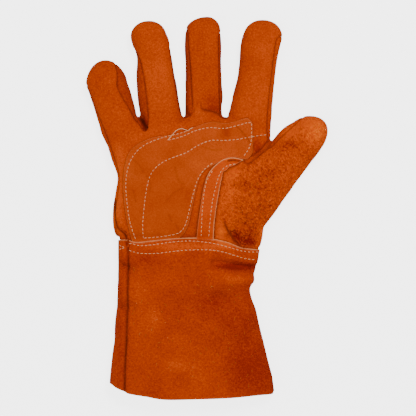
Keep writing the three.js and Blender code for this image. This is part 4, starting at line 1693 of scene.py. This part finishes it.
@dataclass(frozen=True)
class Fibres:
    """Loose hairs that stand up from the split leather."""

    count: int
    low: Point
    high: Point
    length: float = 2.4
    radius: float = 0.13
    sizes: Point = (0.5, 1.3)
    bend: float = 0.4
    root: float = 0.15
    arch: float = 0.6
    droop: float = 0.2
    steps: int = 6
    sides: int = 5
    seed: int = 23

    def strewn(self, form: Form) -> bpy.types.Mesh:
        """Strew the hairs over a part of a form.

        Args:
            form: The leather.

        Returns:
            The mesh of all hairs.
        """
        chance = np.random.default_rng(self.seed)
        corners = np.sort([plan_point(self.low), plan_point(self.high)], axis=0)
        places = chance.uniform(corners[0], corners[1], (self.count, 2))
        met, facing = form.over(places)
        share = np.linspace(0, 1, self.steps)[:, None]
        hairs: list[Body] = []
        for spot, up in zip(met, facing):
            turn, bend = chance.uniform(0, 2 * math.pi, 2)
            size = self.length * chance.uniform(*self.sizes)
            run = np.array([math.cos(turn), math.sin(turn), 0.0])
            aside = np.array([math.cos(bend), math.sin(bend), 0.0])
            line = spot + run * share * size + aside * share ** 2 * size * self.bend
            line = line + up * (self.root + self.arch * np.sin(share * math.pi) - self.droop * share)
            hairs.append(tube_along(line, self.radius, self.sides))
        return settle(make_object("fibres", *joined(hairs)))


class Signal:
    """A socket's value in shader maths."""

    def __init__(self, bench: "Bench", socket: bpy.types.NodeSocket) -> None:
        """Wrap the socket."""
        self.bench, self.socket = bench, socket

    def _joined(self, operation: str, first: "Value", second: "Value") -> "Signal":
        """Add a Math node."""
        return self.bench.node(
            "ShaderNodeMath", {"operation": operation}, {0: first, 1: second}
        )["Value"]

    def __add__(self, other: "Value") -> "Signal":
        """Sum."""
        return self._joined("ADD", self, other)

    def __radd__(self, other: float) -> "Signal":
        """Sum with a number first."""
        return self._joined("ADD", other, self)

    def __sub__(self, other: "Value") -> "Signal":
        """Difference."""
        return self._joined("SUBTRACT", self, other)

    def __rsub__(self, other: float) -> "Signal":
        """Difference with a number first."""
        return self._joined("SUBTRACT", other, self)

    def __mul__(self, other: "Value") -> "Signal":
        """Product."""
        return self._joined("MULTIPLY", self, other)

    def __rmul__(self, other: float) -> "Signal":
        """Product with a number first."""
        return self._joined("MULTIPLY", other, self)

    def ramped(self, low: float, high: float) -> "Signal":
        """Run from 0 at one value to 1 at another."""
        sockets = {"Value": self, "From Min": low, "From Max": high}
        return self.bench.node("ShaderNodeMapRange", {"clamp": True}, sockets)["Result"]


Value = Union[Signal, float]
Colour = tuple[float, float, float]
Sockets = dict[Union[str, int], object]


class Outputs:
    """A node's outputs by name or number."""

    def __init__(self, bench: "Bench", node: bpy.types.Node) -> None:
        """Wrap the node."""
        self.bench, self.inner = bench, node

    def __getitem__(self, key: Union[str, int]) -> Signal:
        """One output."""
        return Signal(self.bench, self.inner.outputs[key])


class Bench:
    """The nodes of one material."""

    def __init__(self, name: str) -> None:
        """Start an empty material.

        Args:
            name: Its name.
        """
        self.material = bpy.data.materials.new(name)
        self.material.use_nodes = True
        self.tree = self.material.node_tree
        self.tree.nodes.clear()

    def node(self, kind: str, settings: dict[str, object], sockets: Sockets) -> Outputs:
        """Add a node.

        Args:
            kind: Its type.
            settings: Its settings, made first.
            sockets: Values or signals for its inputs.

        Returns:
            Its outputs.
        """
        made = self.tree.nodes.new(kind)
        for name, value in settings.items():
            setattr(made, name, value)
        for key, value in sockets.items():
            if isinstance(value, Signal):
                self.tree.links.new(value.socket, made.inputs[key])
            else:
                made.inputs[key].default_value = value
        return Outputs(self, made)

    def place(self) -> Signal:
        """The surface's place on the object."""
        return self.node("ShaderNodeTexCoord", {}, {})["Object"]

    def noise(
        self, place: Signal, scale: float, detail: float = 2.0, rough: float = 0.5, curl: float = 0.0,
    ) -> Signal:
        """Soft noise from 0 to 1, twisted where it curls."""
        sockets = {
            "Vector": place, "Scale": scale, "Detail": detail, "Roughness": rough, "Distortion": curl,
        }
        return self.node("ShaderNodeTexNoise", {"noise_dimensions": "3D"}, sockets)["Fac"]

    def mask(self, name: str) -> Signal:
        """A value kept on the mesh."""
        return self.node("ShaderNodeAttribute", {"attribute_name": name}, {})["Fac"]

    def mixed(self, share: Value, low: object, high: object) -> Signal:
        """Mix two colours.

        Args:
            share: How much of the second.
            low: The first, a colour or a signal.
            high: The second, a colour or a signal.

        Returns:
            The mixed colour.
        """
        low, high = (
            (*colour, 1.0) if isinstance(colour, tuple) else colour for colour in (low, high)
        )
        settings = {"data_type": "RGBA", "clamp_factor": True}
        return self.node("ShaderNodeMix", settings, {0: share, 6: low, 7: high})[2]

    def bump(self, height: Value, distance: float, strength: float) -> Signal:
        """A normal from a height."""
        sockets: Sockets = {"Height": height, "Distance": distance, "Strength": strength}
        return self.node("ShaderNodeBump", {}, sockets)["Normal"]

    def shade(self, sockets: Sockets) -> bpy.types.Material:
        """Finish the material with its surface shader.

        Args:
            sockets: What the Principled shader takes.

        Returns:
            The material.
        """
        surface = self.node("ShaderNodeBsdfPrincipled", {}, sockets)
        self.node("ShaderNodeOutputMaterial", {"target": "ALL"}, {"Surface": surface["BSDF"]})
        return self.material


def srgb(red: float, green: float, blue: float) -> Colour:
    """Turn a colour of the screen into the light that shaders work in.

    Args:
        red: Its red, 0 to 255.
        green: Its green.
        blue: Its blue.

    Returns:
        The light in each channel.
    """
    def light(value: float) -> float:
        """One channel."""
        share = value / 255
        return share / 12.92 if share <= 0.04045 else ((share + 0.055) / 1.055) ** 2.4

    return light(red), light(green), light(blue)


@dataclass(frozen=True)
class Suede:
    """Split leather: clouds, mottling, nap and raw edges, with painted shade in seams and crevices and
    painted light and shade from the tone and pile masks.
    """

    name: str
    light: Colour = srgb(214, 80, 6)
    dark: Colour = srgb(152, 38, 0)
    # Colour of the painted shade in seams, creases and crevices, also of the patch's veins.
    seam: Colour = srgb(76, 14, 0)
    edge: Colour = srgb(236, 160, 104)
    cloud: float = 22.0
    patch: float = 85.0
    nap: float = 620.0
    fine: float = 1150.0
    bright: Colour = srgb(222, 94, 0)
    low: float = 0.33
    high: float = 0.67
    # Share of the tone mask in the colour: the leather's clouds, with painted shade and highlights.
    tone_and_light_share: float = 0.14
    # Share of the nap's height in the colour: painted shade in its hollows, painted light on its tips.
    pile_shading_share: float = 0.27
    curl: float = 0.0
    nap_share: float = 0.45
    nap_depth: float = 0.0006
    rough: float = 0.95
    sheen: float = 0.12
    cloud_share: float = 0.38
    patch_share: float = 0.15
    fine_share: float = 0.47
    bright_early: float = 0.12
    bright_late: float = 0.3
    seam_least: float = 0.3
    seam_patch: float = 0.5
    edge_least: float = 0.35
    edge_fine: float = 0.9
    nap_height: float = 0.65
    fine_height: float = 0.35

    def made(self) -> bpy.types.Material:
        """Build the material.

        Returns:
            The material.
        """
        bench = Bench(self.name)
        place = bench.place()
        cloud = bench.noise(place, self.cloud, 2.0, 0.5)
        patch = bench.noise(place, self.patch, 2.0, 0.55)
        nap = bench.noise(place, self.nap, 3.0, 0.6, self.curl)
        fine = bench.noise(place, self.fine, 2.0, 0.6)
        rest = 1 - self.nap_share
        mottle = cloud * (self.cloud_share * rest) + patch * (self.patch_share * rest)
        mottle = mottle + nap * self.nap_share + fine * (self.fine_share * rest)
        # The tone mask brings in painted shade and highlights with the clouds; the pile brings painted
        # shading of the nap.
        mottle = mottle + bench.mask("tone_and_light") * self.tone_and_light_share + bench.mask("pile") * self.pile_shading_share
        colour = bench.mixed(mottle.ramped(self.low, self.high), self.dark, self.light)
        brightest = mottle.ramped(self.high - self.bright_early, self.high + self.bright_late)
        colour = bench.mixed(brightest, colour, self.bright)
        # The seam mask is painted shade in seams, creases and crevices; on the patch it also holds the
        # leather's own darker veins.
        seam, edge = bench.mask("seam"), bench.mask("edge")
        colour = bench.mixed(seam * (self.seam_least + self.seam_patch * patch), colour, self.seam)
        colour = bench.mixed(edge * (self.edge_least + self.edge_fine * fine), colour, self.edge)
        height = nap * self.nap_height + fine * self.fine_height
        return bench.shade({
            "Base Color": colour, "Roughness": self.rough, "Sheen Weight": self.sheen,
            "Sheen Roughness": 0.5, "Sheen Tint": (*self.light, 1.0), "Specular IOR Level": 0.1,
            "Normal": bench.bump(height, self.nap_depth, 1.0),
        })


@dataclass(frozen=True)
class Thread:
    """Sewing thread with a slight twist."""

    name: str
    light: Colour = srgb(250, 194, 142)
    dark: Colour = srgb(216, 140, 86)
    twist: float = 1800.0
    low: float = 0.35
    high: float = 0.65
    rough: float = 0.75
    depth: float = 0.0003
    strength: float = 0.6

    def made(self) -> bpy.types.Material:
        """Build the material.

        Returns:
            The material.
        """
        bench = Bench(self.name)
        fleck = bench.noise(bench.place(), self.twist, 2.0)
        return bench.shade({
            "Base Color": bench.mixed(fleck.ramped(self.low, self.high), self.dark, self.light),
            "Roughness": self.rough, "Specular IOR Level": 0.2,
            "Normal": bench.bump(fleck, self.depth, self.strength),
        })


@dataclass(frozen=True)
class Floor:
    """The pale floor's plain paint, and how much it glows."""

    name: str
    glow: float

    def made(self) -> bpy.types.Material:
        """Build the material."""
        bench = Bench(self.name)
        return bench.shade({
            "Base Color": (0.9, 0.9, 0.9, 1.0), "Roughness": 0.95, "Specular IOR Level": 0.1,
            "Emission Color": (1.0, 1.0, 1.0, 1.0), "Emission Strength": self.glow,
        })


@dataclass
class Studio:
    """Camera, lights and floor."""

    camera_height: float = 1.9
    picture_span: float = 0.3801
    middle: tuple[float, float] = (0.0009, -0.0003)
    focus_level: float = 0.015
    key_place: tuple[float, float, float] = (0.35, 0.6, 1.5)
    key_size: float = 0.5
    key_power: float = 15.0
    fill_place: tuple[float, float, float] = (-0.5, -0.3, 1.6)
    fill_size: float = 1.0
    fill_power: float = 8.5
    sky_strength: float = 0.4
    sheet_glow: float = 3.6
    floor_level: float = -0.0006
    sheet_level: float = -0.0002
    floor_reach: float = 3.0

    def camera(self) -> None:
        """Look straight down on the glove."""
        lens = bpy.data.cameras.new("camera")
        lens.sensor_width = 36.0
        lens.angle = 2 * math.atan(self.picture_span / 2 / (self.camera_height - self.focus_level))
        camera = bpy.data.objects.new("camera", lens)
        camera.location = (*self.middle, self.camera_height)
        bpy.context.scene.collection.objects.link(camera)
        bpy.context.scene.camera = camera

    def lamp(self, name: str, place: tuple[float, float, float], size: float, power: float) -> None:
        """Hang a soft lamp that faces the glove.

        Args:
            name: Its name.
            place: Where it hangs, in metres.
            size: Its width.
            power: Its strength in watts.
        """
        light = bpy.data.lights.new(name, "AREA")
        light.shape = "DISK"
        light.size = size
        light.energy = power
        lamp = bpy.data.objects.new(name, light)
        lamp.location = place
        lamp.rotation_euler = (-Vector(place)).to_track_quat("-Z", "Y").to_euler()
        bpy.context.scene.collection.objects.link(lamp)

    def lit(self) -> None:
        """Set up the floor, the lamps and the sky."""
        reach = self.floor_reach
        for name, level, glow in (
            ("floor", self.floor_level, 0.0), ("bright_sheet", self.sheet_level, self.sheet_glow),
        ):
            corners = [(-reach, -reach), (reach, -reach), (reach, reach), (-reach, reach)]
            points = np.array([[wide, long, level] for wide, long in corners])
            floor = make_object(name, points, [(0, 1, 2, 3)])
            floor.data.materials.append(Floor(name + "_paint", glow).made())
            floor.visible_diffuse = not glow
            floor.visible_glossy = not glow
            floor.visible_shadow = not glow
        self.lamp("key", self.key_place, self.key_size, self.key_power)
        self.lamp("fill", self.fill_place, self.fill_size, self.fill_power)
        world = bpy.data.worlds.new("sky")
        world.use_nodes = True
        inputs = world.node_tree.nodes["Background"].inputs
        inputs["Color"].default_value = (1.0, 1.0, 1.0, 1.0)
        inputs["Strength"].default_value = self.sky_strength
        bpy.context.scene.world = world


def vertex_normals(mesh: bpy.types.Mesh) -> Array:
    """Read a mesh's vertex normals.

    Args:
        mesh: The mesh.

    Returns:
        The normals, one row each.
    """
    flat = np.empty(len(mesh.vertices) * 3)
    mesh.vertex_normals.foreach_get("vector", flat)
    return flat.reshape(-1, 3)


@dataclass(frozen=True)
class Pile:
    """A coarse curly nap raised from the leather itself."""

    height: float = 0.75
    curl: float = 0.85
    warp: float = 0.8
    flow: float = -0.9
    stretch: float = 1.5
    warp_size: float = 4.5
    warp_shifts: tuple[float, ...] = (0.0, 31.0, 67.0)
    fine_share: float = 0.8
    coarse_share: float = 0.2
    coarse_shift: float = 13.0
    coarse_size: float = 2.4
    refined: float = 0.12
    fade: float = 6.0
    tilt: float = 0.4
    below_seam: float = 4.0

    def read(self, points: Array) -> Array:
        """Read the nap.

        Args:
            points: Points of the leather.

        Returns:
            Its height at each, from -1 to 1.
        """
        turned = points + self.warp * np.stack([
            GRAIN.read(points + shift, self.warp_size) for shift in self.warp_shifts
        ], axis=-1)
        along = np.array([math.cos(self.flow), math.sin(self.flow), 0.0])
        turned -= (turned @ along)[:, None] * along * (1 - 1 / self.stretch)
        fine = GRAIN.read(turned, self.curl)
        coarse = GRAIN.read(turned + self.coarse_shift, self.curl * self.coarse_size)
        return self.fine_share * fine + self.coarse_share * coarse

    def raised(self, mesh: bpy.types.Mesh, area: Array) -> bpy.types.Mesh:
        """Refine a mesh and raise the nap on its upper side.

        Args:
            mesh: The mesh, in millimetres.
            area: Outline of the plan where the nap is at its full height.

        Returns:
            The refined mesh, its nap kept as a mask.
        """
        napped = self.share(mesh, area) > self.refined
        bulk = bmesh.new()
        bulk.from_mesh(mesh)
        bmesh.ops.triangulate(bulk, faces=bulk.faces[:])
        edges = [edge for edge in bulk.edges if all(napped[end.index] for end in edge.verts)]
        bmesh.ops.subdivide_edges(bulk, edges=edges, cuts=1, use_grid_fill=True)
        bulk.to_mesh(mesh)
        bulk.free()
        points = read_points(mesh)
        pile = self.read(points) * self.share(mesh, area)
        write_points(mesh, points + (pile * self.height)[:, None] * vertex_normals(mesh))
        write_mask(mesh, "pile", pile)
        return mesh

    def share(self, mesh: bpy.types.Mesh, area: Array) -> Array:
        """Tell how much of its full height the nap has.

        Args:
            mesh: The mesh.
            area: Outline of the plan inside which it has all of it, on the upper side.

        Returns:
            A share for each point.
        """
        points = read_points(mesh)
        away = line_distance(points, ringed(area))
        share = np.where(inside(points, area), 1.0, falloff(away, self.fade))
        upward = smoothstep(vertex_normals(mesh)[:, 2] / self.tilt)
        return share * upward * (points[:, 2] > SEAM_HEIGHT - self.below_seam)


def crevices(points: Array, lines: Shades) -> Array:
    """Painted shade along lines of the plan, where leather meets leather or folds; on the patch the lines
    also hold its own darker veins.

    Args:
        points: Points to shade.
        lines: Each line with its reach and its depth of shade.

    Returns:
        A share from 0 to 1 for each point.
    """
    shade = np.zeros(len(points))
    for line, reach, depth in lines:
        shade = np.maximum(shade, depth * falloff(line_distance(points, line), reach))
    return shade


SWELL_DEPTH, SWELL_SIZE = 0.45, 17.0
LUMP_DEPTH, LUMP_SIZE, LUMP_SHIFT = 0.2, 7.0, 40.0
"""The leather's soft unevenness, in millimetres."""

SIDE_TILT, TILT_SPAN = 0.15, 0.7
"""How far round the sides the folds reach, as the upward part of the surface's normal."""

MELT_ROUNDS = 6
FOLD_ROUNDS = 1


def leather_relief(form: Form) -> Array:
    """Fold a surface and make it uneven.

    Args:
        form: The surface.

    Returns:
        Its moved points.
    """
    up = smoothstep((form.normals[:, 2] + SIDE_TILT) / TILT_SPAN)
    rise = relief(form.points) * up
    swell = GRAIN.read(form.points, SWELL_SIZE)
    rise += SWELL_DEPTH * swell + LUMP_DEPTH * GRAIN.read(form.points + LUMP_SHIFT, LUMP_SIZE)
    moved = form.points + rise[:, None] * form.normals
    moved[:, 2] = np.maximum(moved[:, 2], 0.0)
    return moved


def glove_form() -> Form:
    """Melt the hand, its fingers and its thumb together and fold them.

    Returns:
        The folded surface.
    """
    tubes = [hand_tube()] + [finger_tube(finger) for finger in FINGERS.values()]
    form = Form.melted(tubes, HAND_VOXEL)
    form = form.shaped(lambda plain: eased(plain.points, plain.quads, MELT_ROUNDS))
    form = form.shaped(leather_relief)
    return form.shaped(lambda plain: eased(plain.points, plain.quads, FOLD_ROUNDS))


ARCH_EASE = 14.0
STRAP_EDGE_REACH = 1.2
FOOT_PALE, ARCH_PALE, THUMB_SIDE_PALE = 0.45, 1.9, 0.8
"""How pale the strap's cut edge is at its foot, round its arch and on the thumb's side."""


def strap_paleness(places: Array, left: Array, right: Array) -> Array:
    """How pale the strap's cut edge is.

    Args:
        places: Places of the plan.
        left: The strap's edge towards the patch and the fingers.
        right: The strap's edge towards the thumb.

    Returns:
        A share for each place.
    """
    arch = smoothstep((places[:, 1] - STRAP_ARCH) / ARCH_EASE)
    outer = falloff(line_distance(places, left), STRAP_EDGE_REACH)
    inner = falloff(line_distance(places, right), STRAP_EDGE_REACH)
    return FOOT_PALE + ARCH_PALE * arch * outer + THUMB_SIDE_PALE * (1 - arch) * inner


def main() -> None:
    """Build the glove piece by piece."""
    logging.basicConfig(level=logging.INFO, format="%(message)s")
    studio = Studio()
    studio.camera()
    studio.lit()

    suede = Suede("suede_leather").made()
    # A darker copy of the suede for the fourchettes: painted shade on the strips that face away from the
    # light.
    side = Suede("shaded_side_leather", light=srgb(194, 68, 4), dark=srgb(134, 28, 0)).made()
    nap = Suede(
        "napped_leather", light=srgb(244, 96, 2), dark=srgb(130, 18, 0), bright=srgb(244, 118, 0),
        low=0.1, high=0.9, tone_and_light_share=0.2, pile_shading_share=0.31, nap_depth=0.0016, nap=380.0, curl=1.2,
        nap_share=0.6,
    ).made()
    smooth = Suede(
        "smooth_leather", light=srgb(204, 83, 17), dark=srgb(162, 48, 7), nap_depth=0.0003, nap_share=0.2,
    ).made()
    strip = Suede(
        "strap_leather", light=srgb(218, 80, 0), dark=srgb(168, 44, 0), nap_depth=0.0003, nap_share=0.2,
    ).made()
    cuff_leather = Suede("cuff_leather", light=srgb(208, 72, 4), dark=srgb(140, 27, 0)).made()
    thread = Thread("thread").made()

    form = glove_form()
    LOG.info("form: %d points", len(form.points))
    patch_outline = np.vstack([drawn(PATCH_EDGE), drawn(PATCH_FOOT)[1:-1]])
    left, right, lap = drawn(STRAP_LEFT), drawn(STRAP_RIGHT), drawn(CUFF_LAP)
    narrow = narrow_creases()
    # Painted shade on the hides: along the edges of patch, strap and lap, in narrow creases, by the flap,
    # in the wrist's fold and in the crotches.
    shades: Shades = [(patch_outline, *PATCH_SHADE), (left, *STRAP_LEFT_SHADE)]
    shades += [(right, *STRAP_RIGHT_SHADE), (lap, *LAP_SHADE)]
    shades += [(line, *CREASE_SHADE) for line in narrow]
    shades += [(drawn(FLAP_LINE), *FLAP_SHADE), (drawn(WRIST_DITCH), *DITCH_SHADE)]
    shades += [(drawn(line), reach, depth) for line, reach, depth in CROTCH_SHADES]
    hides = Hides(form, shades)
    hides.cut()
    dress = {
        "palm_leather": (suede, "suede", FRONT_CROWN),
        "middle_finger_front": (suede, "suede", FRONT_CROWN),
        "back_leather": (suede, "suede", BACK_CROWN),
        "thumb_back": (suede, "suede", BACK_CROWN),
        "fourchette_little_ring": (side, "side_suede", NO_CROWN),
        "fourchette_ring_middle": (side, "side_suede", NO_CROWN),
        "fourchette_middle_index": (side, "side_suede", NO_CROWN),
        "thumb_front": (nap, "napped_suede", FRONT_CROWN),
    }
    for name, (material, slot, crown) in dress.items():
        mesh = hides.dressed(name, crown)
        if name == "thumb_front":
            mesh = Pile().raised(mesh, plan_line(NAP_AREA))
        finish_piece(name + "_hide", mesh, material, (name,))

    cuff_form = Form.melted([cuff_tube()], CUFF_VOXEL).shaped(leather_relief)
    # Painted shade along the narrow creases of the cuff.
    cuff_shades = [(line, *CUFF_CREASE_SHADE) for line in narrow]
    cuff = Cuff(drawn(CUFF_SEAM, 3), lap, drawn(CUFF_HEM), cuff_form, cuff_shades)
    cuff.cut()
    for name in ("cuff_front", "cuff_back"):
        finish_piece(name + "_hide", cuff.dressed(name), cuff_leather, (name,))

    # Painted shade in the patch's crease, and the darker veins of the patch's own leather.
    lines = [(drawn(PATCH_CREASE), *PATCH_CREASE_SHADE)]
    lines += [(drawn(line), *VEIN_SHADE) for line in PATCH_VEINS]
    patch = Sheet(patch_outline, PATCH_THICKNESS, lines)
    mesh = patch.made(form, lambda places: np.full(len(places), PATCH_PALE))
    finish_piece("palm_patch_hide", mesh, smooth, ("palm_patch",))
    strap = Sheet(np.vstack([left, right]), STRAP_THICKNESS, [(drawn(STRAP_SHADOW), *STRAP_END_SHADE)])
    mesh = strap.made(form, lambda places: strap_paleness(places, left, right))
    finish_piece("thumb_strap_hide", mesh, strip, ("thumb_strap",))

    raised = form.shaped(lambda plain: plain.points + PATCH_TOP * plain.normals)
    strap_top = form.shaped(lambda plain: plain.points + STRAP_TOP * plain.normals)
    groups = {
        "patch_stitches": (("patch_outer", "patch_upper", "patch_inner", "patch_foot"), raised),
        "strap_stitches": (("strap_left", "strap_right"), strap_top),
        "cuff_stitches": (("cuff_upper", "cuff_lower"), cuff_form),
        "side_stitches": (("cuff_side_upper", "cuff_side_lower"), cuff_form),
    }
    for name, (rows, surface) in groups.items():
        stitching = Stitching(pitch=SIDE_PITCH) if name == "side_stitches" else Stitching()
        mesh = stitching.sewn([plan_line(STITCH_ROWS[row]) for row in rows], surface)
        finish_piece(name, mesh, thread, ())
    hair = Suede("fibre", light=srgb(228, 130, 66), dark=srgb(200, 96, 36)).made()
    for name, fibres, surface in (
        ("cuff_fibres", Fibres(count=110, low=(132, 268), high=(256, 388)), cuff_form),
        ("thumb_fibres", Fibres(count=40, low=(228, 175), high=(272, 235)), form),
    ):
        finish_piece(name, fibres.strewn(surface), hair, ())
    met, facing = raised.over(even_line(drawn(LOOSE_THREAD, 10), THREAD_STEP))
    strand = make_object("strand", *tube_along(met + facing * THREAD_LIFT, THREAD_RADIUS))
    finish_piece("loose_thread", settle(strand), thread, ())


if __name__ == "__main__":
    main()
